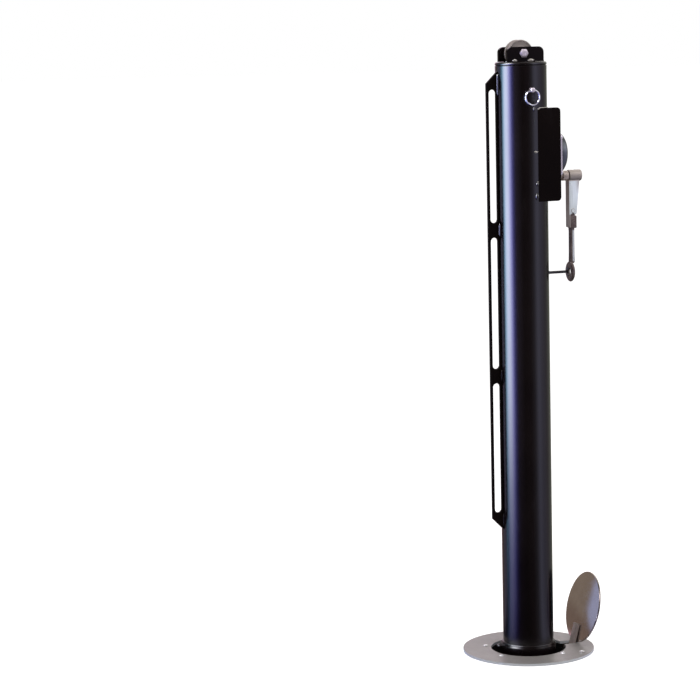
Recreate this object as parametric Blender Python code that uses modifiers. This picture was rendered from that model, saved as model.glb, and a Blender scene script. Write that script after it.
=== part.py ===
"""Tennis net post with an internal-wind winch, standing in its ground socket.

The winch post of a pair: a steel tube that drops into a sleeve in the court, a head with a
grooved sheave, a lacing bar for the net, and a geared reel that a folding crank turns.

Frame: metres, +Z up. The origin is on the post's axis at the court's surface. The net
hangs on the -X side, the winch is on the +X side, and -Y is the front.
"""
import math

import bmesh
import bpy
from mathutils import Vector

# Clearances
SEAT = 0.0003            # gap between two faces that touch or are welded
RUNNING = 0.0003         # gap between a shaft and what it turns in
SIDE_PLAY = 0.0005       # gap beside a wheel, a lug or a bush that turns

# Post
POST_RADIUS = 0.04445
POST_WALL = 0.0032
POST_TOP = 1.0283
POST_BURIED = 0.300
PLUG_THICKNESS = 0.004
PLUG_DRAIN = 0.008

# Foot collar, which stops the post on its sleeve, and the eye for the net's foot lacing
COLLAR_WIDTH = 0.0040
COLLAR_TOP = 0.016
COLLAR_BOTTOM = -0.012
FOOT_EYE_WIRE = 0.0018
FOOT_EYE_REACH = 0.0115
FOOT_EYE_RADIUS = 0.0048
FOOT_EYE_HEIGHT = 0.0128

# Ground sleeve and the cup round its mouth
SLEEVE_SLIP = 0.0016
SLEEVE_WALL = 0.0048
SLEEVE_BOTTOM_GAP = 0.020
SLEEVE_CAP_THICKNESS = 0.0045
SLEEVE_DRAIN = 0.010
CUP_RADIUS = 0.066
CUP_WALL = 0.0030
CUP_DEPTH = 0.030
CUP_FLANGE_WIDTH = 0.017
CUP_FLANGE_THICKNESS = 0.0030

# Floor plate and its screws
PLATE_BEYOND_CUP = 0.0495
PLATE_THICKNESS = 0.0045
FLANGE_SCREW_BEYOND_CUP = 0.0105
FLANGE_SCREW_ANGLES = (-61.0, 61.0, -151.0, 151.0)
ANCHOR_SCREW_INSET = 0.0155
ANCHOR_SCREW_ANGLES = (-43.0, 43.0)
SCREW_HEAD_RADIUS = 0.0045
SCREW_HEAD_HEIGHT = 0.0017
SCREW_SHANK_RADIUS = 0.0025
FLANGE_SCREW_LENGTH = 0.0125
ANCHOR_SCREW_LENGTH = 0.032

# Lid and its hinge
LID_PLAY = 0.0025
LID_THICKNESS = 0.0045
LID_EDGE = 0.0012
LID_OPEN = 105.0
HINGE_BEYOND_CUP = 0.0115
HINGE_DROP = 0.0065
HINGE_PIN_RADIUS = 0.0025
STRAP_WIDTH = 0.020
STRAP_THICKNESS = 0.0030
STRAP_LENGTH = 0.046
STRAP_TIP_RISE = 0.0015
STRAP_BARREL = 0.0050
STRAP_RIVET_RADIUS = 0.0026
STRAP_RIVET_HEAD = 0.0045
STRAP_RIVET_RISE = 0.0014
STRAP_RIVET_PLACES = (0.62, 0.86)
STRAP_RIVET_COVER = 0.0015
BRACKET_EAR = 0.0035
BRACKET_BASE = 0.0030
BRACKET_HALF_LENGTH = 0.0072
BRACKET_FLOOR_GAP = 0.0010
NOTCH_REACH = 0.0120
STRAP_PATH_INSIDE = 0.0100

# Head
CAP_THICKNESS = 0.0060
SPIGOT_LENGTH = 0.065
SPIGOT_WALL = 0.0040
SPIGOT_SLIP = 0.0005
EAR_WIDTH = 0.068
EAR_HEIGHT = 0.0252
EAR_THICKNESS = 0.0060
EAR_CORNER = 0.0095
EAR_SPACE = 0.031
AXLE_X = -0.0035
AXLE_RISE = 0.0144
SHEAVE_RADIUS = 0.0230
SHEAVE_WIDTH = 0.0190
SHEAVE_GROOVE = 0.0065
SHEAVE_LIP = 0.0022
SHEAVE_EDGE = 0.0012
SHEAVE_BUSH_RADIUS = 0.0080
AXLE_RADIUS = 0.0050
AXLE_SPACER_RADIUS = 0.0095
BOLT_ACROSS_FLATS = 0.0140
BOLT_HEAD_HEIGHT = 0.0058
NUT_HEIGHT = 0.0080
BOLT_OVERHANG = 0.0035
CABLE_SLOT_WIDTH = 0.024
CABLE_SLOT_MARGIN = 0.0050

# Lock pin and its pull ring
LOCK_DROP = 0.0413
LOCK_PIN_CHAMFER = 0.0014
LOCK_PIN_RADIUS = 0.0040
LOCK_PIN_OUT = 0.0105
LOCK_PIN_IN = 0.0110
RING_RADIUS = 0.0127
RING_WIRE = 0.00125
RING_HOLE_MARGIN = 0.0040
RING_HOLE_PLAY = 0.00090

# Lacing bar
BAR_THICKNESS = 0.0048
BAR_INNER_STRIP = 0.0030
BAR_OUTER_STRIP = 0.0045
BAR_SLOT_WIDTH = 0.0130
BAR_SLOT_LENGTH = 0.2286
BAR_BRIDGE = 0.0254
BAR_SLOTS = 3
BAR_END = 0.0105
BAR_BOTTOM = 0.2414

# Winch bracket
BRACKET_HALF_WIDTH = 0.0430
BRACKET_INNER_X = 0.0105
BRACKET_OUTER_X = 0.0545
BRACKET_BOTTOM = 0.7960
BRACKET_HEIGHT = 0.1600
CHEEK_THICKNESS = 0.0050
CHEEK_CORNER = 0.0065
FACE_THICKNESS = 0.00635
FACE_HEIGHT = 0.1530

# Gears
REEL_ABOVE_MIDDLE = 0.0005
GEAR_MODULE = 0.0015
GEAR_TEETH = 42
PINION_TEETH = 12
PRESSURE_ANGLE = 25.0
ADDENDUM = 0.85
DEDENDUM = 1.15
TOOTH_THINNING = 0.00022
GEAR_FACE = 0.0080
PINION_FACE = 0.0090
GEAR_SETBACK = 0.0028

# Reel
REEL_SHAFT_RADIUS = 0.0080
REEL_LENGTH = 0.0500
REEL_CORE_RADIUS = 0.0130
REEL_FLANGE_RADIUS = 0.0270
REEL_FLANGE_THICKNESS = 0.0028
REEL_GEAR_GAP = 0.0016
INNER_BEARING_RADIUS = 0.0130
WINDOW_MARGIN = 0.0025

# Brake housing on the face plate
FLANGE_WIDTH = 0.0800
FLANGE_HEIGHT = 0.0715
FLANGE_THICKNESS = 0.0037
FLANGE_CORNER = 0.0060
FLANGE_LIFT = -0.0022
HOUSING_RADIUS = 0.0350
HOUSING_LENGTH = 0.0148
HOUSING_WALL = 0.0028
HOUSING_EDGE = 0.0030
BRAKE_DISC_RADIUS = 0.0285
BRAKE_DISC_THICKNESS = 0.0040
LINING_INNER_RADIUS = 0.0160
LINING_THICKNESS = 0.0022
HOUSING_SCREW_Y = 0.0345
HOUSING_SCREW_Z = 0.0300
HOUSING_SCREW_RADIUS = 0.0038
HOUSING_SCREW_HEIGHT = 0.0032
HOUSING_SCREW_SHANK = 0.0020

# Crank
CRANK_SHAFT_RADIUS = 0.0050
CRANK_COLLAR_RADIUS = 0.0088
CRANK_COLLAR_GAP = 0.0010
CRANK_BUSH_WALL = 0.0030
CRANK_BUSH_LIP = 0.0022
CRANK_BUSH_LIP_WIDTH = 0.0020
HUB_X = 0.0860
HUB_LENGTH = 0.0235
HUB_RADIUS = 0.0100
HUB_EDGE = 0.0015
ARM_X = 0.0850
ARM_DEPTH = 0.0156
ARM_WALL = 0.0025
ARM_WEB = 0.0020
ARM_TOP_WIDTH = 0.0195
ARM_FOOT_WIDTH = 0.0138
ARM_FOOT_BELOW_PIN = 0.0070
ARM_FOOT_HOLLOW = 0.0025
ARM_FOOT_CHAMFER = 0.0024
ARM_TAIL = 0.0220
FOLD_PIN_DROP = 0.0610
FOLD_PIN_RADIUS = 0.0025
FOLD_PIN_HEAD_RADIUS = 0.0040
FOLD_PIN_HEAD_RISE = 0.0008
SET_SCREW_RADIUS = 0.0025
SET_SCREW_LENGTH = 0.0036

# Folding handle
TONGUE_HALF_WIDTH = 0.0045
TONGUE_BELOW_ARM = 0.0015
SHOULDER_BELOW_PIN = 0.0088
HANDLE_ROD_RADIUS = 0.0050
HANDLE_LENGTH = 0.1066
EYE_WIRE = 0.0035
EYE_HALF_WIDTH = 0.0172
EYE_HALF_HEIGHT = 0.0180
EYE_OFFSET = 0.0030
STUD_RADIUS = 0.0025
STUD_FLARE_RADIUS = 0.0065
STUD_FLARE_LENGTH = 0.0050
STUD_END_GAP = 0.0005

# Places that follow from the sizes above
AXIS_X = "X"
AXIS_Y = "Y"
AXIS_Z = "Z"
PLATE_RADIUS = CUP_RADIUS + PLATE_BEYOND_CUP
FLANGE_SCREW_CIRCLE = CUP_RADIUS + FLANGE_SCREW_BEYOND_CUP
ANCHOR_SCREW_CIRCLE = PLATE_RADIUS - ANCHOR_SCREW_INSET
LID_RADIUS = CUP_RADIUS - LID_PLAY
HINGE_X = CUP_RADIUS + HINGE_BEYOND_CUP
AXLE_HEIGHT = POST_TOP + SEAT + CAP_THICKNESS + AXLE_RISE
LOCK_HEIGHT = POST_TOP - LOCK_DROP
REEL_HEIGHT = BRACKET_BOTTOM + BRACKET_HEIGHT / 2 + REEL_ABOVE_MIDDLE
CRANK_HEIGHT = REEL_HEIGHT - GEAR_MODULE * (GEAR_TEETH + PINION_TEETH) / 2
FACE_X = BRACKET_OUTER_X - FACE_THICKNESS
FLANGE_X = BRACKET_OUTER_X + SEAT
HOUSING_X = FLANGE_X + FLANGE_THICKNESS + SEAT
GEAR_X = FACE_X - GEAR_SETBACK - GEAR_FACE
FOLD_X = ARM_X + ARM_WEB + SEAT + TONGUE_HALF_WIDTH
RING_Y = -(POST_RADIUS + LOCK_PIN_OUT - RING_HOLE_MARGIN)

JOINT_MARK = 0.02
TURN_STEPS = 36
SMALL_STEPS = 20
SCREW_STEPS = 12
ARC_STEPS = 6


def clear_scene():
    """Remove every object that the scene holds."""
    for item in list(bpy.data.objects):
        bpy.data.objects.remove(item, do_unlink=True)


def make_collection(name):
    """Add a collection to the scene and return it."""
    collection = bpy.data.collections.new(name)
    bpy.context.scene.collection.children.link(collection)
    return collection


def make_material(name, colour, roughness, metallic):
    """Return a Principled material."""
    material = bpy.data.materials.new(name)
    material.use_nodes = True
    shader = material.node_tree.nodes["Principled BSDF"]
    shader.inputs["Base Color"].default_value = (*colour, 1.0)
    shader.inputs["Roughness"].default_value = roughness
    shader.inputs["Metallic"].default_value = metallic
    material.diffuse_color = (*colour, 1.0)
    return material


clear_scene()
PARTS = make_collection("tennis_net_post")
CUTTERS = make_collection("cutters")

BLACK = make_material("black_powder_coat", (0.012, 0.011, 0.014), 0.26, 0.0)
ZINC = make_material("zinc_plated_steel", (0.60, 0.57, 0.57), 0.34, 1.0)
SATIN = make_material("satin_steel", (0.42, 0.37, 0.34), 0.42, 1.0)
BRIGHT = make_material("bright_steel", (0.72, 0.71, 0.72), 0.20, 1.0)
BRONZE = make_material("bearing_bronze", (0.46, 0.28, 0.12), 0.38, 1.0)
IRON = make_material("plain_steel", (0.20, 0.19, 0.19), 0.55, 1.0)
LINING = make_material("brake_lining", (0.09, 0.07, 0.06), 0.85, 0.0)


def add_object(name, data, material=None, location=(0.0, 0.0, 0.0), parent=None):
    """Link a new object to the part's collection."""
    item = bpy.data.objects.new(name, data)
    PARTS.objects.link(item)
    item.location = location
    item.parent = parent
    if material is not None:
        data.materials.append(material)
    return item


def add_joint(name, location, parent=None, rotation=(0.0, 0.0, 0.0)):
    """Add an empty on a joint's axis, which carries the pieces that move there."""
    joint = bpy.data.objects.new(name, None)
    PARTS.objects.link(joint)
    joint.empty_display_size = JOINT_MARK
    joint.location = location
    joint.rotation_euler = rotation
    joint.parent = parent
    return joint


def aim(item, axis):
    """Turn an object so that its local Z runs along the given world axis."""
    if axis == AXIS_X:
        item.rotation_euler = (0.0, math.pi / 2, 0.0)
    elif axis == AXIS_Y:
        item.rotation_euler = (-math.pi / 2, 0.0, 0.0)


def face(item, normal):
    """Turn a flat outline so that its thickness runs along the given world axis.

    Facing Y, the outline's x and y run along world X and Z. Facing X, along Y and Z.
    """
    if normal == AXIS_Y:
        item.rotation_euler = (math.pi / 2, 0.0, 0.0)
    elif normal == AXIS_X:
        item.rotation_euler = (math.pi / 2, 0.0, math.pi / 2)


def evaluated_mesh(item):
    """Return a new mesh of an object with its modifiers applied and its seams welded."""
    bpy.context.view_layer.update()
    graph = bpy.context.evaluated_depsgraph_get()
    mesh = bpy.data.meshes.new_from_object(item.evaluated_get(graph))
    shape = bmesh.new()
    shape.from_mesh(mesh)
    bmesh.ops.remove_doubles(shape, verts=shape.verts, dist=0.000002)
    shape.to_mesh(mesh)
    shape.free()
    return mesh


def as_mesh(item):
    """Replace a curve object by a mesh object of the same name and place."""
    mesh = evaluated_mesh(item)
    name = item.name
    solid = bpy.data.objects.new(name + "_mesh", mesh)
    PARTS.objects.link(solid)
    solid.parent = item.parent
    solid.location = item.location
    solid.rotation_euler = item.rotation_euler
    bpy.data.objects.remove(item, do_unlink=True)
    solid.name = name
    return solid


def turned(name, profile, axis, location, material, parent=None, steps=TURN_STEPS, ring=False):
    """Spin a profile of (radius, height) points, from the top down its outer side."""
    mesh = bpy.data.meshes.new(name)
    points = [(radius, 0.0, height) for radius, height in profile]
    edges = [(index, index + 1) for index in range(len(points) - 1)]
    if ring:
        edges.append((len(points) - 1, 0))
    mesh.from_pydata(points, edges, [])
    item = add_object(name, mesh, material, location, parent)
    spin = item.modifiers.new("turn", "SCREW")
    spin.angle = 2 * math.pi
    spin.steps = steps
    spin.render_steps = steps
    spin.use_merge_vertices = True
    spin.merge_threshold = 0.00001
    aim(item, axis)
    return item


def disc(name, radius, low, high, axis, location, material, parent=None, steps=TURN_STEPS):
    """Make a plain cylinder from low to high along its axis."""
    profile = [(0.0, high), (radius, high), (radius, low), (0.0, low)]
    return turned(name, profile, axis, location, material, parent, steps)


def tube(name, inner, outer, low, high, axis, location, material, parent=None, steps=TURN_STEPS):
    """Make a plain tube from low to high along its axis."""
    profile = [(outer, high), (outer, low), (inner, low), (inner, high)]
    return turned(name, profile, axis, location, material, parent, steps, ring=True)


def plate(name, outlines, thickness, normal, location, material, parent=None):
    """Make a flat plate from closed outlines, the outer one first, then its holes."""
    curve = bpy.data.curves.new(name, "CURVE")
    curve.dimensions = "2D"
    curve.fill_mode = "BOTH"
    curve.extrude = thickness / 2
    for outline in outlines:
        spline = curve.splines.new("POLY")
        spline.points.add(len(outline) - 1)
        for point, (x, y) in zip(spline.points, outline):
            point.co = (x, y, 0.0, 1.0)
        spline.use_cyclic_u = True
    item = add_object(name, curve, material, location, parent)
    face(item, normal)
    return item


def wire(name, path, radius, location, material, parent=None, closed=False, resolution=2):
    """Make a round wire along a path of points."""
    curve = bpy.data.curves.new(name, "CURVE")
    curve.dimensions = "3D"
    curve.bevel_depth = radius
    curve.bevel_resolution = resolution
    curve.use_fill_caps = not closed
    spline = curve.splines.new("POLY")
    spline.points.add(len(path) - 1)
    for point, place in zip(spline.points, path):
        point.co = (*place, 1.0)
    spline.use_cyclic_u = closed
    return add_object(name, curve, material, location, parent)


def hide_guide(item):
    """Move a cutter or a joined shape to the cutters' collection and hide it."""
    for holder in list(item.users_collection):
        holder.objects.unlink(item)
    CUTTERS.objects.link(item)
    item.hide_render = True
    item.display_type = "WIRE"


def boolean(item, other, operation):
    """Cut an object by another, or join the other to it."""
    change = item.modifiers.new(other.name, "BOOLEAN")
    change.object = other
    change.operation = operation
    hide_guide(other)


def cut_box(item, name, size, centre, parent=None):
    """Cut a box out of an object."""
    mesh = bpy.data.meshes.new(name)
    shape = bmesh.new()
    bmesh.ops.create_cube(shape, size=1.0)
    bmesh.ops.scale(shape, vec=Vector(size), verts=shape.verts)
    shape.to_mesh(mesh)
    shape.free()
    cutter = add_object(name, mesh, None, centre, parent)
    boolean(item, cutter, "DIFFERENCE")


def cut_round(item, name, radius, low, high, axis, centre, parent=None, steps=SMALL_STEPS):
    """Cut a round hole out of an object."""
    cutter = disc(name, radius, low, high, axis, centre, None, parent, steps)
    boolean(item, cutter, "DIFFERENCE")


def arc(centre, radius, start, end, steps=ARC_STEPS):
    """Return points along an arc, with angles in degrees and both ends included."""
    points = []
    for index in range(steps + 1):
        angle = math.radians(start + (end - start) * index / steps)
        points.append((centre[0] + radius * math.cos(angle), centre[1] + radius * math.sin(angle)))
    return points


def circle(centre, radius, steps=SMALL_STEPS):
    """Return the points of a full circle."""
    return arc(centre, radius, 0.0, 360.0, steps)[:-1]


def rounded_box(low_x, low_y, high_x, high_y, corner):
    """Return a rectangle's outline with round corners."""
    outline = arc((high_x - corner, high_y - corner), corner, 0.0, 90.0)
    outline += arc((low_x + corner, high_y - corner), corner, 90.0, 180.0)
    outline += arc((low_x + corner, low_y + corner), corner, 180.0, 270.0)
    outline += arc((high_x - corner, low_y + corner), corner, 270.0, 360.0)
    return outline


def upright_slot(low_x, high_x, low_y, high_y):
    """Return the outline of an upright slot with round ends."""
    radius = (high_x - low_x) / 2
    middle = (low_x + high_x) / 2
    outline = arc((middle, high_y - radius), radius, 0.0, 180.0, 2 * ARC_STEPS)
    outline += arc((middle, low_y + radius), radius, 180.0, 360.0, 2 * ARC_STEPS)
    return outline


def polar(radius, degrees):
    """Return a point at a radius and an angle."""
    angle = math.radians(degrees)
    return (radius * math.cos(angle), radius * math.sin(angle))


def copies(name, source, places):
    """Replace an object by a numbered copy of it at each place."""
    for number, place in enumerate(places, start=1):
        item = source.copy()
        PARTS.objects.link(item)
        item.name = f"{name}_{number}"
        item.location = place
    bpy.data.objects.remove(source, do_unlink=True)


def hexagon(name, across_flats, low, high, axis, location, material, parent=None):
    """Make a six-sided prism from low to high along its axis."""
    corner_radius = across_flats / 2 / math.cos(math.pi / 6)
    return disc(name, corner_radius, low, high, axis, location, material, parent, steps=6)


def pan_screw(name, head_radius, head_height, shank_radius, length, axis, material, parent=None):
    """Make a round-headed screw whose head stands on height 0 and whose shank hangs below."""
    crown = head_radius * 0.62
    profile = [
        (0.0, head_height),
        (crown, head_height * 0.92),
        (head_radius, head_height * 0.35),
        (head_radius, SEAT),
        (shank_radius, SEAT),
        (shank_radius, -length),
        (0.0, -length),
    ]
    return turned(name, profile, axis, (0.0, 0.0, 0.0), material, parent, SCREW_STEPS)


def involute(angle):
    """Return the involute of a pressure angle in radians."""
    return math.tan(angle) - angle


def gear_outline(teeth, first_tooth, flank_points=2):
    """Return a spur gear's outline with involute flanks; angles are in degrees."""
    pitch_radius = GEAR_MODULE * teeth / 2
    base_radius = pitch_radius * math.cos(math.radians(PRESSURE_ANGLE))
    tip_radius = pitch_radius + ADDENDUM * GEAR_MODULE
    root_radius = pitch_radius - DEDENDUM * GEAR_MODULE
    start_radius = max(base_radius, root_radius)
    half_pitch = math.pi / (2 * teeth) - TOOTH_THINNING / (2 * pitch_radius)
    flank = []
    for index in range(flank_points + 1):
        radius = start_radius + (tip_radius - start_radius) * index / flank_points
        pressure = math.acos(min(1.0, base_radius / radius))
        half = half_pitch + involute(math.radians(PRESSURE_ANGLE)) - involute(pressure)
        flank.append((radius, half))
    root_half = flank[0][1]
    outline = []
    for tooth in range(teeth):
        middle = math.radians(first_tooth + 360.0 * tooth / teeth)
        side = [(root_radius, root_half)] + [point for point in flank if point[0] > root_radius]
        for radius, half in side:
            outline.append((radius * math.cos(middle - half), radius * math.sin(middle - half)))
        for radius, half in reversed(side):
            outline.append((radius * math.cos(middle + half), radius * math.sin(middle + half)))
    return outline


def build_ground_socket():
    """The sleeve in the court, the cup round its mouth, and the floor plate."""
    inner = POST_RADIUS + SLEEVE_SLIP
    outer = inner + SLEEVE_WALL
    top = COLLAR_BOTTOM - SEAT
    bottom = -POST_BURIED - SLEEVE_BOTTOM_GAP
    tube("ground_sleeve", inner, outer, bottom, top, AXIS_Z, (0, 0, 0), IRON)
    tube("sleeve_drain_cap", SLEEVE_DRAIN, outer, bottom - SEAT - SLEEVE_CAP_THICKNESS, bottom - SEAT,
         AXIS_Z, (0, 0, 0), IRON)

    flange_top = -SEAT
    flange_bottom = flange_top - CUP_FLANGE_THICKNESS
    cup_outer = CUP_RADIUS + CUP_WALL
    cup_profile = [
        (cup_outer + CUP_FLANGE_WIDTH, flange_top),
        (cup_outer + CUP_FLANGE_WIDTH, flange_bottom),
        (cup_outer, flange_bottom),
        (cup_outer, -CUP_DEPTH - CUP_WALL),
        (outer + SEAT, -CUP_DEPTH - CUP_WALL),
        (outer + SEAT, -CUP_DEPTH),
        (CUP_RADIUS, -CUP_DEPTH),
        (CUP_RADIUS, flange_top),
    ]
    cup = turned("floor_cup", cup_profile, AXIS_Z, (0, 0, 0), IRON, ring=True)
    ear_outside = STRAP_WIDTH / 2 + SIDE_PLAY + BRACKET_EAR
    gap_width = 2 * (ear_outside + SIDE_PLAY)
    gap_reach = HINGE_X + BRACKET_HALF_LENGTH + SIDE_PLAY
    gap_depth = HINGE_DROP + STRAP_BARREL
    outside = cup_outer + CUP_FLANGE_WIDTH + SIDE_PLAY
    cut_box(cup, "flange_gap", (outside - cup_outer, gap_width, gap_depth),
            ((outside + cup_outer) / 2, 0, -gap_depth / 2))
    strap_path = STRAP_WIDTH + 2 * SIDE_PLAY
    strap_depth = HINGE_DROP
    cut_box(cup, "strap_path", (gap_reach - CUP_RADIUS + STRAP_PATH_INSIDE, strap_path, strap_depth),
            ((gap_reach + CUP_RADIUS - STRAP_PATH_INSIDE) / 2, 0, -strap_depth / 2))
    for number, angle in enumerate(FLANGE_SCREW_ANGLES):
        x, y = polar(FLANGE_SCREW_CIRCLE, angle)
        cut_round(cup, f"flange_screw_hole_{number}", SCREW_SHANK_RADIUS + SEAT, -CUP_DEPTH / 2, SEAT,
                  AXIS_Z, (x, y, 0), steps=SCREW_STEPS)

    notch_half = STRAP_WIDTH / 2 + SIDE_PLAY
    notch_end = HINGE_X + NOTCH_REACH
    notch_angle = math.degrees(math.asin(notch_half / CUP_RADIUS))
    mouth = arc((0, 0), CUP_RADIUS, notch_angle, 360.0 - notch_angle, TURN_STEPS)
    mouth += [(notch_end, -notch_half), (notch_end, notch_half)]
    outlines = [circle((0, 0), PLATE_RADIUS, 2 * TURN_STEPS), mouth]
    for angle in FLANGE_SCREW_ANGLES:
        centre = polar(FLANGE_SCREW_CIRCLE, angle)
        outlines.append(circle(centre, SCREW_SHANK_RADIUS + SEAT, SCREW_STEPS))
    for angle in ANCHOR_SCREW_ANGLES:
        centre = polar(ANCHOR_SCREW_CIRCLE, angle)
        outlines.append(circle(centre, SCREW_SHANK_RADIUS + SEAT, SCREW_STEPS))
    plate("floor_plate", outlines, PLATE_THICKNESS, AXIS_Z, (0, 0, PLATE_THICKNESS / 2), SATIN)

    for name, reach, angles, length in (
        ("flange_screw", FLANGE_SCREW_CIRCLE, FLANGE_SCREW_ANGLES, FLANGE_SCREW_LENGTH),
        ("anchor_screw", ANCHOR_SCREW_CIRCLE, ANCHOR_SCREW_ANGLES, ANCHOR_SCREW_LENGTH),
    ):
        screw = pan_screw(name + "_source", SCREW_HEAD_RADIUS, SCREW_HEAD_HEIGHT, SCREW_SHANK_RADIUS,
                          length, AXIS_Z, BRIGHT)
        places = [(*polar(reach, angle), PLATE_THICKNESS) for angle in angles]
        copies(name, screw, places)


def build_lid():
    """The round lid, its hinge strap, and the bracket and pin that carry it."""
    ear_inside = STRAP_WIDTH / 2 + SIDE_PLAY
    ear_outside = ear_inside + BRACKET_EAR
    top = -SEAT
    floor = -HINGE_DROP - STRAP_BARREL - BRACKET_FLOOR_GAP
    bottom = floor - BRACKET_BASE
    channel = [
        (-ear_outside, top), (-ear_outside, bottom), (ear_outside, bottom), (ear_outside, top),
        (ear_inside, top), (ear_inside, floor), (-ear_inside, floor), (-ear_inside, top),
    ]
    bracket = as_mesh(plate("hinge_bracket", [channel], 2 * BRACKET_HALF_LENGTH, AXIS_X,
                            (HINGE_X, 0, 0), IRON))
    cut_round(bracket, "hinge_pin_hole", HINGE_PIN_RADIUS + SEAT, -2 * ear_outside, 2 * ear_outside,
              AXIS_Y, (HINGE_X, 0, -HINGE_DROP))
    disc("hinge_pin", HINGE_PIN_RADIUS, -ear_outside, ear_outside, AXIS_Y,
         (HINGE_X, 0, -HINGE_DROP), ZINC, steps=SMALL_STEPS)

    hinge = add_joint("lid_hinge", (HINGE_X, 0, -HINGE_DROP),
                      rotation=(0.0, math.radians(LID_OPEN), 0.0))
    under = HINGE_DROP
    profile = [
        (0.0, LID_THICKNESS),
        (LID_RADIUS - LID_EDGE, LID_THICKNESS),
        (LID_RADIUS - LID_EDGE * 0.3, LID_THICKNESS - LID_EDGE * 0.3),
        (LID_RADIUS, LID_THICKNESS - LID_EDGE),
        (LID_RADIUS, LID_EDGE),
        (LID_RADIUS - LID_EDGE * 0.3, LID_EDGE * 0.3),
        (LID_RADIUS - LID_EDGE, 0.0),
        (0.0, 0.0),
    ]
    lid = turned("lid_plate", profile, AXIS_Z, (-HINGE_X, 0, under), SATIN, hinge)

    strap_top = under - SEAT
    strap_bottom = strap_top - STRAP_THICKNESS
    meet = math.degrees(math.asin(strap_bottom / STRAP_BARREL))
    outline = [(0.0, strap_top), (-STRAP_LENGTH, strap_top), (-STRAP_LENGTH, strap_bottom)]
    outline += arc((0, 0), STRAP_BARREL, 180.0 - meet, 360.0, 2 * ARC_STEPS)
    outline += [(STRAP_BARREL, STRAP_TIP_RISE)]
    hole = circle((0, 0), HINGE_PIN_RADIUS + RUNNING, SMALL_STEPS)
    strap = as_mesh(plate("lid_strap", [outline, hole], STRAP_WIDTH, AXIS_Y, (0, 0, 0), SATIN, hinge))

    rivet_places = []
    for along in STRAP_RIVET_PLACES:
        rivet_places.append(-STRAP_LENGTH * along)
    rivet_depth = STRAP_THICKNESS + SEAT + LID_THICKNESS - STRAP_RIVET_COVER
    profile = [
        (0.0, STRAP_RIVET_RISE), (STRAP_RIVET_HEAD * 0.6, STRAP_RIVET_RISE * 0.85),
        (STRAP_RIVET_HEAD, SEAT), (STRAP_RIVET_RADIUS, SEAT),
        (STRAP_RIVET_RADIUS, -rivet_depth), (0.0, -rivet_depth),
    ]
    rivet = turned("strap_rivet_source", profile, AXIS_Z, (0, 0, 0), BRIGHT, hinge, SCREW_STEPS)
    rivet.rotation_euler = (math.pi, 0.0, 0.0)
    copies("strap_rivet", rivet, [(x, 0, strap_bottom) for x in rivet_places])
    for number, x in enumerate(rivet_places):
        for target in (strap, lid):
            hole_top = under + LID_THICKNESS - STRAP_RIVET_COVER + SEAT
            cut_round(target, f"rivet_hole_{target.name}_{number}", STRAP_RIVET_RADIUS + SEAT,
                      strap_bottom - SEAT, hole_top, AXIS_Z, (x, 0, 0), hinge, SCREW_STEPS)


def build_post_tube(post):
    """The tube with its reel window and lock-pin hole, its end plug, and the foot collar."""
    body = tube("post_tube", POST_RADIUS - POST_WALL, POST_RADIUS, -POST_BURIED, POST_TOP,
                AXIS_Z, (0, 0, 0), BLACK, post)
    gear_tip = GEAR_MODULE * (GEAR_TEETH / 2 + ADDENDUM)
    pinion_tip = GEAR_MODULE * (PINION_TEETH / 2 + ADDENDUM)
    window_top = REEL_HEIGHT + gear_tip + WINDOW_MARGIN
    window_bottom = CRANK_HEIGHT - pinion_tip - WINDOW_MARGIN
    window_width = 2 * (gear_tip + WINDOW_MARGIN)
    cut_box(body, "reel_window", (POST_RADIUS, window_width, window_top - window_bottom),
            (POST_RADIUS * 1.02, 0, (window_top + window_bottom) / 2), post)
    cut_round(body, "lock_pin_hole", LOCK_PIN_RADIUS + SEAT, 0.0, 2 * POST_RADIUS, AXIS_Y,
              (0, -2 * POST_RADIUS, LOCK_HEIGHT), post)

    plug_radius = POST_RADIUS - POST_WALL - SEAT
    tube("post_end_plug", PLUG_DRAIN, plug_radius, -POST_BURIED, -POST_BURIED + PLUG_THICKNESS,
         AXIS_Z, (0, 0, 0), IRON, post)
    tube("foot_collar", POST_RADIUS + SEAT, POST_RADIUS + COLLAR_WIDTH, COLLAR_BOTTOM, COLLAR_TOP,
         AXIS_Z, (0, 0, 0), BLACK, post)

    start = POST_RADIUS + COLLAR_WIDTH + SEAT
    bow = start + FOOT_EYE_REACH - FOOT_EYE_WIRE - FOOT_EYE_RADIUS
    path = [(-start, -FOOT_EYE_RADIUS, 0.0)]
    for x, y in arc((-bow, 0.0), FOOT_EYE_RADIUS, 270.0, 90.0, 2 * ARC_STEPS):
        path.append((x, y, 0.0))
    path.append((-start, FOOT_EYE_RADIUS, 0.0))
    wire("foot_lacing_eye", path, FOOT_EYE_WIRE, (0, 0, FOOT_EYE_HEIGHT), ZINC, post)


def build_lacing_bar(post):
    """The slotted bar that the net's edge is laced to."""
    inner = -(POST_RADIUS + SEAT)
    slot_high = inner - BAR_INNER_STRIP
    slot_low = slot_high - BAR_SLOT_WIDTH
    outer = slot_low - BAR_OUTER_STRIP
    width = inner - outer
    first = BAR_BOTTOM + BAR_END
    last = first + BAR_SLOTS * BAR_SLOT_LENGTH + (BAR_SLOTS - 1) * BAR_BRIDGE
    top = last + BAR_END
    outlines = [[(inner, BAR_BOTTOM - width), (inner, top + width), (outer, top), (outer, BAR_BOTTOM)]]
    for number in range(BAR_SLOTS):
        low = first + number * (BAR_SLOT_LENGTH + BAR_BRIDGE)
        outlines.append(upright_slot(slot_low, slot_high, low, low + BAR_SLOT_LENGTH))
    plate("lacing_bar", outlines, BAR_THICKNESS, AXIS_Y, (0, 0, 0), BLACK, post)


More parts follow.
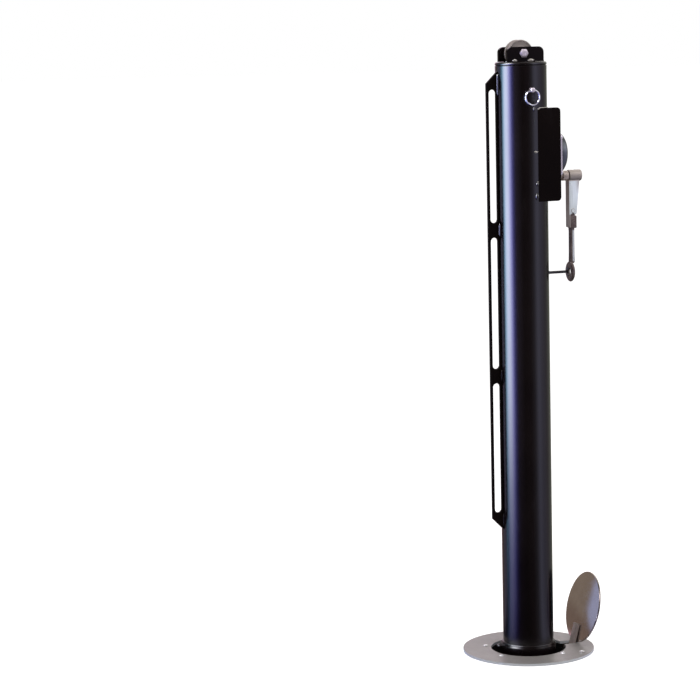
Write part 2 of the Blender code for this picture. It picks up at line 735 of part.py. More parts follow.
def build_head(post):
    """The removable head: cap, spigot, ears, sheave and axle."""
    cap_bottom = POST_TOP + SEAT
    cap_top = cap_bottom + CAP_THICKNESS
    slot_half = SHEAVE_RADIUS + CABLE_SLOT_MARGIN
    slot = rounded_box(AXLE_X - slot_half, -CABLE_SLOT_WIDTH / 2, AXLE_X + slot_half,
                       CABLE_SLOT_WIDTH / 2, CABLE_SLOT_WIDTH / 6)
    plate("head_cap", [circle((0, 0), POST_RADIUS, 2 * TURN_STEPS), slot], CAP_THICKNESS, AXIS_Z,
          (0, 0, cap_bottom + CAP_THICKNESS / 2), BLACK, post)
    spigot_outer = POST_RADIUS - POST_WALL - SPIGOT_SLIP
    spigot = tube("head_spigot", spigot_outer - SPIGOT_WALL, spigot_outer, cap_bottom - SEAT - SPIGOT_LENGTH,
                  cap_bottom - SEAT, AXIS_Z, (0, 0, 0), IRON, post)
    cut_round(spigot, "spigot_pin_hole", LOCK_PIN_RADIUS + SEAT, 0.0, 2 * POST_RADIUS, AXIS_Y,
              (0, -2 * POST_RADIUS, LOCK_HEIGHT), post)

    half = EAR_WIDTH / 2
    low = cap_top + SEAT
    high = low + EAR_HEIGHT
    outline = [(-half, low), (half, low)]
    outline += arc((half - EAR_CORNER, high - EAR_CORNER), EAR_CORNER, 0.0, 90.0)
    outline += arc((EAR_CORNER - half, high - EAR_CORNER), EAR_CORNER, 90.0, 180.0)
    hole = circle((AXLE_X, AXLE_HEIGHT), AXLE_RADIUS + SEAT)
    ear_y = EAR_SPACE / 2 + EAR_THICKNESS / 2
    for name, y in (("ear_front", -ear_y), ("ear_back", ear_y)):
        plate(name, [outline, hole], EAR_THICKNESS, AXIS_Y, (0, y, 0), BLACK, post)

    outside = EAR_SPACE / 2 + EAR_THICKNESS + SEAT
    shank_end = outside + NUT_HEIGHT + BOLT_OVERHANG
    bolt = disc("axle_bolt", AXLE_RADIUS, -outside - BOLT_HEAD_HEIGHT / 2, shank_end, AXIS_Y,
                (AXLE_X, 0, AXLE_HEIGHT), ZINC, post, SMALL_STEPS)
    head = hexagon("axle_bolt_head", BOLT_ACROSS_FLATS, -outside - BOLT_HEAD_HEIGHT, -outside, AXIS_Y,
                   (AXLE_X, 0, AXLE_HEIGHT), ZINC, post)
    boolean(bolt, head, "UNION")
    nut = hexagon("axle_nut", BOLT_ACROSS_FLATS, outside, outside + NUT_HEIGHT, AXIS_Y,
                  (AXLE_X, 0, AXLE_HEIGHT), ZINC, post)
    cut_round(nut, "axle_nut_bore", AXLE_RADIUS + SEAT, 0.0, 2 * shank_end, AXIS_Y,
              (AXLE_X, 0, AXLE_HEIGHT), post)

    spacer_low = SHEAVE_WIDTH / 2 + SIDE_PLAY
    spacer_high = EAR_SPACE / 2 - SEAT
    spacer = tube("spacer_source", AXLE_RADIUS + SEAT, AXLE_SPACER_RADIUS, -(spacer_high - spacer_low) / 2,
                  (spacer_high - spacer_low) / 2, AXIS_Y, (0, 0, 0), ZINC, post, SMALL_STEPS)
    middle = (spacer_low + spacer_high) / 2
    copies("axle_spacer", spacer, [(AXLE_X, -middle, AXLE_HEIGHT), (AXLE_X, middle, AXLE_HEIGHT)])

    axle = add_joint("sheave_axle", (AXLE_X, 0, AXLE_HEIGHT), post)
    bush_outer = SHEAVE_BUSH_RADIUS
    half_width = SHEAVE_WIDTH / 2
    tube("sheave_bush", AXLE_RADIUS + RUNNING, bush_outer, -half_width, half_width, AXIS_Y, (0, 0, 0),
         BRONZE, axle, SMALL_STEPS)
    groove_floor = SHEAVE_RADIUS - SHEAVE_GROOVE
    groove_half = half_width - SHEAVE_LIP
    hollow = []
    for index in range(1, ARC_STEPS):
        angle = math.pi * index / ARC_STEPS
        hollow.append((SHEAVE_RADIUS - (SHEAVE_RADIUS - groove_floor) * math.sin(angle),
                       groove_half * math.cos(angle)))
    profile = [(SHEAVE_RADIUS - SHEAVE_EDGE, half_width), (SHEAVE_RADIUS, half_width - SHEAVE_EDGE),
               (SHEAVE_RADIUS, groove_half)]
    profile += hollow
    profile += [(SHEAVE_RADIUS, -groove_half), (SHEAVE_RADIUS, SHEAVE_EDGE - half_width),
                (SHEAVE_RADIUS - SHEAVE_EDGE, -half_width), (bush_outer + SEAT, -half_width),
                (bush_outer + SEAT, half_width)]
    turned("sheave", profile, AXIS_Y, (0, 0, 0), ZINC, axle, TURN_STEPS, ring=True)


def build_lock_pin(post):
    """The pull pin that locks the head in the tube, and the ring that hangs from it."""
    slide = add_joint("lock_pin_slide", (0, 0, LOCK_HEIGHT), post)
    outer = -(POST_RADIUS + LOCK_PIN_OUT)
    inner = -(POST_RADIUS - LOCK_PIN_IN)
    profile = [
        (0.0, inner), (LOCK_PIN_RADIUS - LOCK_PIN_CHAMFER, inner),
        (LOCK_PIN_RADIUS, inner - LOCK_PIN_CHAMFER), (LOCK_PIN_RADIUS, outer + LOCK_PIN_CHAMFER),
        (LOCK_PIN_RADIUS - LOCK_PIN_CHAMFER, outer), (0.0, outer),
    ]
    pin = turned("lock_pin", profile, AXIS_Y, (0, 0, 0), BRIGHT, slide, SMALL_STEPS)
    cut_round(pin, "ring_hole", RING_WIRE + RING_HOLE_PLAY, -2 * LOCK_PIN_RADIUS, 2 * LOCK_PIN_RADIUS,
              AXIS_X, (0, RING_Y, 0), slide, SCREW_STEPS)
    swing = add_joint("lock_ring_swing", (0, RING_Y, 0), slide)
    path = []
    for x, z in circle((0.0, -RING_RADIUS), RING_RADIUS, SMALL_STEPS + ARC_STEPS):
        path.append((x, 0.0, z))
    wire("lock_ring", path, RING_WIRE, (0, 0, 0), BRIGHT, swing, closed=True, resolution=1)


def build_bracket(post):
    """The box that carries the winch: two cheeks welded to the tube and a face plate."""
    top = BRACKET_BOTTOM + BRACKET_HEIGHT
    cheek = arc((BRACKET_OUTER_X - CHEEK_CORNER, top - CHEEK_CORNER), CHEEK_CORNER, 0.0, 90.0)
    cheek += [(BRACKET_INNER_X, top), (BRACKET_INNER_X, BRACKET_BOTTOM)]
    cheek += arc((BRACKET_OUTER_X - CHEEK_CORNER, BRACKET_BOTTOM + CHEEK_CORNER), CHEEK_CORNER, 270.0, 360.0)
    middle = BRACKET_HALF_WIDTH - CHEEK_THICKNESS / 2
    for name, side in (("bracket_cheek_front", -1), ("bracket_cheek_back", 1)):
        item = as_mesh(plate(name, [cheek], CHEEK_THICKNESS, AXIS_Y, (0, side * middle, 0), BLACK, post))
        cutter = disc(name + "_saddle", POST_RADIUS + SEAT, BRACKET_BOTTOM - 0.01, top + 0.01, AXIS_Z,
                      (0, 0, 0), None, post, 2 * TURN_STEPS)
        boolean(item, cutter, "DIFFERENCE")

    half_width = BRACKET_HALF_WIDTH - CHEEK_THICKNESS - SEAT
    middle_z = BRACKET_BOTTOM + BRACKET_HEIGHT / 2
    outline = rounded_box(-half_width, middle_z - FACE_HEIGHT / 2, half_width, middle_z + FACE_HEIGHT / 2,
                          CHEEK_CORNER / 3)
    holes = [
        circle((0, REEL_HEIGHT), REEL_SHAFT_RADIUS + RUNNING),
        circle((0, CRANK_HEIGHT), CRANK_SHAFT_RADIUS + RUNNING + CRANK_BUSH_WALL + SEAT),
    ]
    for side in (-1, 1):
        for rise in (-1, 1):
            centre = (side * HOUSING_SCREW_Y, flange_middle() + rise * HOUSING_SCREW_Z)
            holes.append(circle(centre, HOUSING_SCREW_SHANK + SEAT, SCREW_STEPS))
    plate("bracket_face_plate", [outline] + holes, FACE_THICKNESS, AXIS_X,
          (FACE_X + FACE_THICKNESS / 2, 0, 0), BLACK, post)


def flange_middle():
    """Return the height of the brake flange's middle."""
    return REEL_HEIGHT + FLANGE_LIFT


def build_brake_housing(post):
    """The round housing outside the face plate, with its flange, lining and screws."""
    middle = flange_middle()
    half = FLANGE_WIDTH / 2
    bush_lip = CRANK_SHAFT_RADIUS + RUNNING + CRANK_BUSH_WALL + CRANK_BUSH_LIP_WIDTH + SEAT
    low = middle - FLANGE_HEIGHT / 2
    high = middle + FLANGE_HEIGHT / 2
    meet = math.degrees(math.asin((low - CRANK_HEIGHT) / bush_lip))
    outline = arc((half - FLANGE_CORNER, high - FLANGE_CORNER), FLANGE_CORNER, 0.0, 90.0)
    outline += arc((FLANGE_CORNER - half, high - FLANGE_CORNER), FLANGE_CORNER, 90.0, 180.0)
    outline += arc((FLANGE_CORNER - half, low + FLANGE_CORNER), FLANGE_CORNER, 180.0, 270.0)
    outline += arc((0, CRANK_HEIGHT), bush_lip, 180.0 - meet, meet, 2 * ARC_STEPS)
    outline += arc((half - FLANGE_CORNER, low + FLANGE_CORNER), FLANGE_CORNER, 270.0, 360.0)
    holes = [circle((0, REEL_HEIGHT), REEL_SHAFT_RADIUS + RUNNING)]
    places = []
    for side in (-1, 1):
        for rise in (-1, 1):
            y = side * HOUSING_SCREW_Y
            z = middle + rise * HOUSING_SCREW_Z
            holes.append(circle((y, z), HOUSING_SCREW_SHANK + SEAT, SCREW_STEPS))
            places.append((FLANGE_X + FLANGE_THICKNESS, y, z))
    plate("winch_flange", [outline] + holes, FLANGE_THICKNESS, AXIS_X,
          (FLANGE_X + FLANGE_THICKNESS / 2, 0, 0), ZINC, post)

    end = HOUSING_X + HOUSING_LENGTH
    inner = HOUSING_RADIUS - HOUSING_WALL
    profile = [
        (0.0, end),
        (HOUSING_RADIUS - HOUSING_EDGE, end),
        (HOUSING_RADIUS - HOUSING_EDGE * 0.3, end - HOUSING_EDGE * 0.3),
        (HOUSING_RADIUS, end - HOUSING_EDGE),
        (HOUSING_RADIUS, HOUSING_X),
        (inner, HOUSING_X),
        (inner, end - HOUSING_WALL),
        (0.0, end - HOUSING_WALL),
    ]
    turned("brake_housing", profile, AXIS_X, (0, 0, REEL_HEIGHT), ZINC, post)
    lining_end = end - HOUSING_WALL - SEAT
    tube("brake_lining", LINING_INNER_RADIUS, BRAKE_DISC_RADIUS, lining_end - LINING_THICKNESS, lining_end,
         AXIS_X, (0, 0, REEL_HEIGHT), LINING, post)
    screw = pan_screw("housing_screw_source", HOUSING_SCREW_RADIUS, HOUSING_SCREW_HEIGHT,
                      HOUSING_SCREW_SHANK, FLANGE_THICKNESS + FACE_THICKNESS, AXIS_X, BRIGHT, post)
    copies("housing_screw", screw, places)


def build_reel(post):
    """The cable reel inside the tube, on its shaft with the large gear and the brake disc."""
    axis = add_joint("reel_axis", (0, 0, REEL_HEIGHT), post)
    reel_high = GEAR_X - REEL_GEAR_GAP
    reel_low = reel_high - REEL_LENGTH
    bore = REEL_SHAFT_RADIUS + SEAT
    profile = [
        (REEL_FLANGE_RADIUS, reel_high),
        (REEL_FLANGE_RADIUS, reel_high - REEL_FLANGE_THICKNESS),
        (REEL_CORE_RADIUS, reel_high - REEL_FLANGE_THICKNESS),
        (REEL_CORE_RADIUS, reel_low + REEL_FLANGE_THICKNESS),
        (REEL_FLANGE_RADIUS, reel_low + REEL_FLANGE_THICKNESS),
        (REEL_FLANGE_RADIUS, reel_low),
        (bore, reel_low),
        (bore, reel_high),
    ]
    turned("reel_drum", profile, AXIS_X, (0, 0, 0), IRON, axis, TURN_STEPS, ring=True)

    tube_inside = POST_RADIUS - POST_WALL
    bearing_back = -math.sqrt((tube_inside - SEAT) ** 2 - INNER_BEARING_RADIUS ** 2)
    bearing_front = reel_low - SIDE_PLAY
    shaft_low = bearing_back + POST_WALL
    lining_face = HOUSING_X + HOUSING_LENGTH - HOUSING_WALL - SEAT - LINING_THICKNESS
    shaft_high = lining_face - SEAT
    disc("reel_shaft", REEL_SHAFT_RADIUS, shaft_low, shaft_high, AXIS_X, (0, 0, 0), BRIGHT, axis,
         SMALL_STEPS)
    bearing = [
        (INNER_BEARING_RADIUS, bearing_front),
        (INNER_BEARING_RADIUS, bearing_back),
        (0.0, bearing_back),
        (0.0, shaft_low - SEAT),
        (REEL_SHAFT_RADIUS + RUNNING, shaft_low - SEAT),
        (REEL_SHAFT_RADIUS + RUNNING, bearing_front),
    ]
    turned("reel_inner_bearing", bearing, AXIS_X, (0, 0, REEL_HEIGHT), BRONZE, post, TURN_STEPS, ring=True)

    hole = circle((0, 0), REEL_SHAFT_RADIUS + SEAT)
    plate("reel_gear", [gear_outline(GEAR_TEETH, -90.0), hole], GEAR_FACE, AXIS_X,
          (GEAR_X + GEAR_FACE / 2, 0, 0), BRIGHT, axis)
    disc_high = lining_face - SEAT
    tube("brake_disc", REEL_SHAFT_RADIUS + SEAT, BRAKE_DISC_RADIUS, disc_high - BRAKE_DISC_THICKNESS,
         disc_high, AXIS_X, (0, 0, 0), IRON, axis)


def build_crank(post):
    """The crank: shaft and pinion, hub and channel arm, and the pin that the handle folds on."""
    axis = add_joint("crank_axis", (0, 0, CRANK_HEIGHT), post)
    bush_inner = CRANK_SHAFT_RADIUS + RUNNING
    bush_outer = bush_inner + CRANK_BUSH_WALL
    lip = bush_outer + CRANK_BUSH_LIP_WIDTH
    lip_x = BRACKET_OUTER_X + SEAT
    bush_back = FACE_X - GEAR_SETBACK + SIDE_PLAY
    profile = [
        (lip, lip_x + CRANK_BUSH_LIP), (lip, lip_x), (bush_outer, lip_x), (bush_outer, bush_back),
        (bush_inner, bush_back), (bush_inner, lip_x + CRANK_BUSH_LIP),
    ]
    turned("crank_bush", profile, AXIS_X, (0, 0, CRANK_HEIGHT), BRONZE, post, SMALL_STEPS, ring=True)

    pinion_x = GEAR_X + GEAR_FACE / 2
    hub_end = HUB_X + HUB_LENGTH
    shaft_low = pinion_x - PINION_FACE / 2 - SIDE_PLAY
    collar_low = HOUSING_X + HOUSING_LENGTH + CRANK_COLLAR_GAP
    collar_high = ARM_X - SEAT
    profile = [
        (0.0, hub_end - ARM_WALL), (CRANK_SHAFT_RADIUS, hub_end - ARM_WALL),
        (CRANK_SHAFT_RADIUS, collar_high), (CRANK_COLLAR_RADIUS, collar_high),
        (CRANK_COLLAR_RADIUS, collar_low), (CRANK_SHAFT_RADIUS, collar_low),
        (CRANK_SHAFT_RADIUS, shaft_low), (0.0, shaft_low),
    ]
    turned("crank_shaft", profile, AXIS_X, (0, 0, 0), BRIGHT, axis, SMALL_STEPS)
    hole = circle((0, 0), CRANK_SHAFT_RADIUS + SEAT)
    plate("drive_pinion", [gear_outline(PINION_TEETH, 90.0 + 180.0 / PINION_TEETH, 3), hole], PINION_FACE,
          AXIS_X, (pinion_x, 0, 0), BRIGHT, axis)

    bore = CRANK_SHAFT_RADIUS + SEAT
    profile = [
        (0.0, hub_end), (HUB_RADIUS - HUB_EDGE, hub_end), (HUB_RADIUS, hub_end - HUB_EDGE),
        (HUB_RADIUS, HUB_X + HUB_EDGE), (HUB_RADIUS - HUB_EDGE, HUB_X), (bore, HUB_X),
        (bore, hub_end - ARM_WALL + SEAT), (0.0, hub_end - ARM_WALL + SEAT),
    ]
    hub = turned("crank_arm", profile, AXIS_X, (0, 0, 0), ZINC, axis, 2 * SMALL_STEPS)
    top = -HUB_RADIUS * 0.75
    flange_foot = -FOLD_PIN_DROP - ARM_FOOT_BELOW_PIN
    tail = -FOLD_PIN_DROP - ARM_TAIL - ARM_FOOT_BELOW_PIN
    web = ARM_X + ARM_WEB
    foot_x = ARM_X + ARM_FOOT_WIDTH
    hollow_middle = (web + foot_x) / 2
    outline = [
        (ARM_X, top), (ARM_X, tail), (web, tail), (web, flange_foot),
        (hollow_middle, flange_foot + ARM_FOOT_HOLLOW), (foot_x - ARM_FOOT_CHAMFER, flange_foot),
        (foot_x, flange_foot + ARM_FOOT_CHAMFER), (ARM_X + ARM_TOP_WIDTH, top),
    ]
    arm = as_mesh(plate("arm_channel", [outline], ARM_DEPTH, AXIS_Y, (0, 0, 0), ZINC, axis))
    inside_top = -HUB_RADIUS - SEAT
    inside_height = inside_top - tail + ARM_DEPTH
    cut_box(arm, "channel_inside", (ARM_TOP_WIDTH * 2, ARM_DEPTH - 2 * ARM_WALL, inside_height),
            (web + ARM_TOP_WIDTH, 0, inside_top - inside_height / 2), axis)
    cut_round(arm, "bore_path", bore, 0.0, 2 * hub_end, AXIS_X, (0, 0, 0), axis)
    boolean(hub, arm, "UNION")
    cut_round(hub, "fold_pin_hole", FOLD_PIN_RADIUS + SEAT, -ARM_DEPTH, ARM_DEPTH, AXIS_Y,
              (FOLD_X, 0, -FOLD_PIN_DROP), axis)
    screw_x = HUB_X + HUB_LENGTH / 2
    cut_round(hub, "set_screw_hole", SET_SCREW_RADIUS + SEAT, 0.0, 2 * HUB_RADIUS, AXIS_Z, (screw_x, 0, 0),
              axis, SCREW_STEPS)
    disc("crank_set_screw", SET_SCREW_RADIUS, bore, bore + SET_SCREW_LENGTH, AXIS_Z, (screw_x, 0, 0), ZINC,
         axis, SCREW_STEPS)

    head_low = ARM_DEPTH / 2 + SEAT
    head_high = head_low + FOLD_PIN_HEAD_RISE
    profile = [
        (0.0, head_high), (FOLD_PIN_HEAD_RADIUS * 0.8, head_high), (FOLD_PIN_HEAD_RADIUS, head_low),
        (FOLD_PIN_RADIUS, head_low), (FOLD_PIN_RADIUS, -head_low), (FOLD_PIN_HEAD_RADIUS, -head_low),
        (FOLD_PIN_HEAD_RADIUS * 0.8, -head_high), (0.0, -head_high),
    ]
    turned("fold_pin", profile, AXIS_Y, (FOLD_X, 0, -FOLD_PIN_DROP), ZINC, axis, SMALL_STEPS)
    return axis


def build_handle(crank):
    """The handle that folds out of the arm: tongue, shoulder, round rod and forged eye."""
    fold = add_joint("handle_fold", (FOLD_X, 0, -FOLD_PIN_DROP), crank)
    tail = -ARM_TAIL - ARM_FOOT_BELOW_PIN
    outline = arc((0, 0), TONGUE_HALF_WIDTH, 0.0, 180.0, 2 * ARC_STEPS)
    tongue_end = tail - TONGUE_BELOW_ARM
    outline += [(-TONGUE_HALF_WIDTH, tongue_end), (TONGUE_HALF_WIDTH, tongue_end)]
    hole = circle((0, 0), FOLD_PIN_RADIUS + RUNNING)
    depth = ARM_DEPTH - 2 * ARM_WALL - 2 * RUNNING
    handle = as_mesh(plate("handle_rod", [outline, hole], depth, AXIS_Y, (0, 0, 0), ZINC, fold))
    left = -TONGUE_HALF_WIDTH
    right = ARM_X + ARM_FOOT_WIDTH - FOLD_X
    outline = [(left, -SHOULDER_BELOW_PIN), (left, tongue_end), (right, tongue_end),
               (right, -SHOULDER_BELOW_PIN)]
    shoulder = as_mesh(plate("shoulder", [outline], ARM_DEPTH, AXIS_Y, (0, 0, 0), ZINC, fold))
    eye_z = -HANDLE_LENGTH
    rod_end = eye_z + EYE_HALF_HEIGHT - EYE_WIRE
    rod = disc("rod_length", HANDLE_ROD_RADIUS, rod_end, tail - SEAT, AXIS_Z, (0, 0, 0), ZINC, fold,
               SMALL_STEPS)
    path = []
    for index in range(SMALL_STEPS):
        angle = 2 * math.pi * index / SMALL_STEPS
        path.append((0.0, (EYE_HALF_WIDTH - EYE_WIRE) * math.cos(angle),
                     (EYE_HALF_HEIGHT - EYE_WIRE) * math.sin(angle)))
    eye = as_mesh(wire("eye_ring", path, EYE_WIRE, (-EYE_OFFSET, 0, eye_z), ZINC, fold, closed=True,
                       resolution=3))
    for piece in (shoulder, rod, eye):
        boolean(handle, piece, "UNION")


def build_handle_stud(post):
    """The stud on the tube that meets the hanging handle's eye."""
    start = POST_RADIUS + SEAT
    end = FOLD_X - EYE_OFFSET - EYE_WIRE - STUD_END_GAP
    profile = [
        (0.0, end), (STUD_RADIUS * 0.6, end), (STUD_RADIUS, end - STUD_RADIUS * 0.4),
        (STUD_RADIUS, start + STUD_FLARE_LENGTH), (STUD_RADIUS * 1.4, start + STUD_FLARE_LENGTH * 0.45),
        (STUD_FLARE_RADIUS, start), (0.0, start),
    ]
    height = CRANK_HEIGHT - FOLD_PIN_DROP - HANDLE_LENGTH
    turned("handle_stud", profile, AXIS_X, (0, 0, height), BLACK, post, SMALL_STEPS)


def finish_parts():
    """Apply the modifiers of every piece and shade its round faces smooth."""
    for item in list(PARTS.objects):
        if item.type == "MESH":
            mesh = evaluated_mesh(item)
            item.modifiers.clear()
            item.data = mesh
            mesh.shade_smooth()
            mesh.set_sharp_from_angle(angle=math.radians(32.0))


def build():
    """Build every piece of the post and its socket."""
    build_ground_socket()
    build_lid()
    post = add_joint("post_lift", (0, 0, 0))
    build_post_tube(post)
    build_lacing_bar(post)
    build_head(post)
    build_lock_pin(post)
    build_bracket(post)
    build_brake_housing(post)
    build_reel(post)
    crank = build_crank(post)
    build_handle(crank)
    build_handle_stud(post)
    finish_parts()


build()
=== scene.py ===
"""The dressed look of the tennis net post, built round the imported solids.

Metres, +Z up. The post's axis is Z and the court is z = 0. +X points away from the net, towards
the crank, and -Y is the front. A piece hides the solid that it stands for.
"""

import math
import random

import bmesh
import bpy
from mathutils import Matrix, Vector


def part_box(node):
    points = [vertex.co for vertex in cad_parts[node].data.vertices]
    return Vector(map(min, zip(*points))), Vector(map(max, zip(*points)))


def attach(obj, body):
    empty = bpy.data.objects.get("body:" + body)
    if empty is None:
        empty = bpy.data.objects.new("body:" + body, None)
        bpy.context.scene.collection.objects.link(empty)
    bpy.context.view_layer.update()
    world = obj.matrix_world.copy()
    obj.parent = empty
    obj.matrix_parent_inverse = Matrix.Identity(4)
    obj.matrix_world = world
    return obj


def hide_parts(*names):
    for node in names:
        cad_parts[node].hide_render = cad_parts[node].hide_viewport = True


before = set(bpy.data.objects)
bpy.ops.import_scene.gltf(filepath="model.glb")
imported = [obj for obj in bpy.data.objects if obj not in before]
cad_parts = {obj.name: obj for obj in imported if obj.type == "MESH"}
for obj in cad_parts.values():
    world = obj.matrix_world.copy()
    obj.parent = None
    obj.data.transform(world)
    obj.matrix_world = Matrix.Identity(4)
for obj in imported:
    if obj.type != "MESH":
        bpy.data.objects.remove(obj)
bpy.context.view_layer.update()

# Gaps and edges, and the tube with the collar and eye at its foot
SEAT = 0.0003
WELD_LIFT = 0.0004
TUBE_EDGE = 0.0006
POST_RADIUS = 0.04445
POST_WALL = 0.0032
POST_TOP = 1.0283
POST_BURIED = 0.300
REEL_WINDOW = ((0.0231, -0.0353, 0.8232), (0.0676, 0.0353, 0.9118))
COLLAR_RADIUS = 0.04845
COLLAR_TOP = 0.016
COLLAR_BOTTOM = -0.012
FOOT_EYE_WIRE = 0.0018
FOOT_EYE_REACH = 0.0115
FOOT_EYE_RADIUS = 0.0048
FOOT_EYE_HEIGHT = 0.0128
FOOT_EYE_WELD = 0.0021

# The lacing bar, with the low and high end of each weld on one side
BAR_INNER = -0.04475
BAR_OUTER = -0.06525
BAR_THICKNESS = 0.0048
BAR_LOW = 0.2414
BAR_HIGH = 0.9990
BAR_SLOT_X = (-0.06075, -0.04775)
BAR_SLOTS = ((0.2519, 0.4805), (0.5059, 0.7345), (0.7599, 0.9885))
BAR_WELDS_LOW = ((BAR_LOW - 0.016, BAR_LOW + 0.008), (0.4830, 0.5035))
BAR_WELDS_HIGH = ((0.7362, 0.7590), (0.9780, 1.0155))

# The head
CAP_BOTTOM = 1.0286
CAP_TOP = 1.0346
CAP_EDGE = 0.0034
CAP_SLOT = (0.028, 0.012)
EAR_BOTTOM = 1.0349
EAR_WIDTH = 0.068
EAR_HEIGHT = 0.0252
EAR_THICKNESS = 0.0060
EAR_CORNER = 0.0095
EAR_OUTSIDE = 0.0215
EAR_INSIDE = 0.0155
EAR_SEAMS = ((-0.0200, 0.0092), (0.0098, 0.0120))
AXLE = Vector((-0.0035, 0.0, 1.0490))
AXLE_RADIUS = 0.0050
HEX_ACROSS = 0.0140
HEX_FACE = 0.66
HEX_DROP = 2.6
BOLT_HEAD = 0.0050
BOLT_END = 0.0115
THREAD_TURNS = 9
THREAD_PITCH = 0.00125
THREAD_DEPTH = 0.0007
NUT_HEIGHT = 0.0080
SPACER = (0.0100, 0.0152)
SPACER_RADIUS = 0.0095
SHEAVE_RADIUS = 0.0230
SHEAVE_HALF = 0.0095
SHEAVE_BORE = 0.0083
SHEAVE_LIP = 0.0022
SHEAVE_GROOVE = 0.0065
LOCK_HEIGHT = 0.987
LOCK_PIN_RADIUS = 0.0040
LOCK_PIN_OUT = -0.05495
LOCK_PIN_IN = -0.03345
RING_PIVOT = Vector((0.0, -0.05095, 0.987))
RING_RADIUS = 0.0127
RING_WIRE = 0.00125

# The winch box. A stitch is its x, low and high end and width; a touch its first and last x,
# height and width; a seam its low and high end.
CHEEK_OUTSIDE = 0.0430
CHEEK_THICKNESS = 0.0050
CHEEK_CORNER = 0.0065
BOX_X = (0.0105, 0.0545)
BOX_Z = (0.7960, 0.9560)
BOX_STITCHES = ((0.0052, 0.9500, 0.9585, 0.0070), (0.0060, 0.9318, 0.9352, 0.0046),
                (0.0095, 0.8225, 0.8300, 0.0070), (0.0088, 0.7990, 0.8115, 0.0066))
BOX_TOUCHES = ((0.0040, 0.0120, 0.8815, 0.0034), (0.0095, 0.0128, 0.8296, 0.0036))
BOX_SEAMS = ((0.806, 0.828), (0.922, 0.944))
FACE_X = (0.04815, 0.0545)
FACE_HALF_WIDTH = 0.0377
FACE_HALF_HEIGHT = 0.0765
REEL_HEIGHT = 0.8765
SHAFT_HOLE = 0.0083
FLANGE_X = (0.0548, 0.0585)
FLANGE_MIDDLE = 0.8743
FLANGE_HALF_WIDTH = 0.0400
FLANGE_HALF_HEIGHT = 0.03575
FLANGE_CORNER = 0.0060
HOUSING_X = (0.0588, 0.0736)
HOUSING_RADIUS = 0.0350
HOUSING_WALL = 0.0028
HOUSING_SCREWS = ((-0.0345, -0.0300), (-0.0345, 0.0300), (0.0345, -0.0300), (0.0345, 0.0300))
HOUSING_SCREW_HOLE = 0.0023
# A crossed screw's head radius and rise, shank, length and recess
HOUSING_SCREW = (0.0038, 0.0032, 0.0020, 0.0100, 0.0014)

# The crank and its handle
CRANK_HEIGHT = 0.8360
CRANK_RADIUS = 0.0050
CRANK_BORE = 0.0053
CRANK_COLLAR = 0.0088
SET_SCREW_RADIUS = 0.0025
SET_SCREW = (0.0053, 0.0089)
BUSH_RADIUS = 0.0083
BUSH_HOLE = 0.0086
BUSH_LIP_RADIUS = 0.0103
BUSH_LIP = 0.0022
HUB_X = (0.0860, 0.1095)
HUB_RADIUS = 0.0100
ARM_X = 0.0850
ARM_DEPTH = 0.0156
ARM_WALL = 0.0025
ARM_WEB = 0.0020
ARM_TOP_WIDTH = 0.0195
ARM_FOOT_WIDTH = 0.0138
ARM_CHAMFER = 0.0024
ARM_HOLLOW = 0.0028
FOLD = Vector((0.0918, 0.0, 0.7750))
FOLD_PIN_RADIUS = 0.0025
FOLD_HEAD_RADIUS = 0.0040
FOLD_HEAD_RISE = 0.0008
SMALL_HOLE = 0.0028
ARM_FLANGE_END = FOLD.z - 0.0070
ARM_TAIL_END = FOLD.z - 0.0290
TONGUE_HALF_WIDTH = 0.0045
TONGUE_END = ARM_TAIL_END - 0.0015
SHOULDER_TOP = FOLD.z - 0.0088
ROD_RADIUS = 0.0050
EYE = Vector((0.0888, 0.0, 0.6684))
EYE_WIRE = 0.0035
EYE_MEAT = 0.0062
EYE_HALF_WIDTH = 0.0172
EYE_HALF_HEIGHT = 0.0180
STUD_RADIUS = 0.0025
STUD_END = 0.0848
STUD_FLARE = 0.0062
STUD_WELD = 0.0050

# The ground socket and its lid
PLATE_RADIUS = 0.1155
PLATE_THICKNESS = 0.0045
PLATE_HOLE = 0.0028
CUP_RADIUS = 0.066
CUP_OUTSIDE = 0.069
CUP_FLANGE = 0.086
CUP_DEPTH = 0.030
CUP_WALL = 0.0030
FLANGE_SCREW_CIRCLE = 0.0765
FLANGE_SCREW_ANGLES = (-61.0, 61.0, -151.0, 151.0)
FLANGE_SCREW = (0.0045, 0.0017, 0.0025, 0.0125, 0.0008)
ANCHOR_SCREW_CIRCLE = 0.100
ANCHOR_SCREW_ANGLES = (-43.0, 43.0)
ANCHOR_SCREW = (0.0045, 0.0017, 0.0025, 0.0320, 0.0008)
HINGE = Vector((0.0775, 0.0, -0.0065))
HINGE_PIN_RADIUS = 0.0025
LID_OPEN = math.radians(105.0)
LID_RADIUS = 0.0635
LID_THICKNESS = 0.0045
LID_EDGE = 0.0013
LID_DOME = 0.0013
STRAP_WIDTH = 0.020
STRAP_THICKNESS = 0.0030
STRAP_LENGTH = 0.046
STRAP_BARREL = 0.0050
STRAP_RIVETS = (-0.02852, -0.03956)
RIVET_HOLE = 0.0029
NOTCH_END = 0.0895
NOTCH_HALF = 0.0105
BRACKET_GAP = ((CUP_OUTSIDE, -0.0145, -0.0115), (0.12, 0.0145, 0.01))
STRAP_PATH = ((0.056, -NOTCH_HALF, -0.0065), (0.12, NOTCH_HALF, 0.01))
SLEEVE_INNER = 0.04605
SLEEVE_OUTER = 0.05085
SLEEVE_BOTTOM = -0.320
SLEEVE_DRAIN = 0.010
PIT_RADIUS = 0.108
PIT_DEPTH = 0.36
FLOOR_RINGS = (60.0, 8.0, 3.0, 1.0, 0.3, PIT_RADIUS)

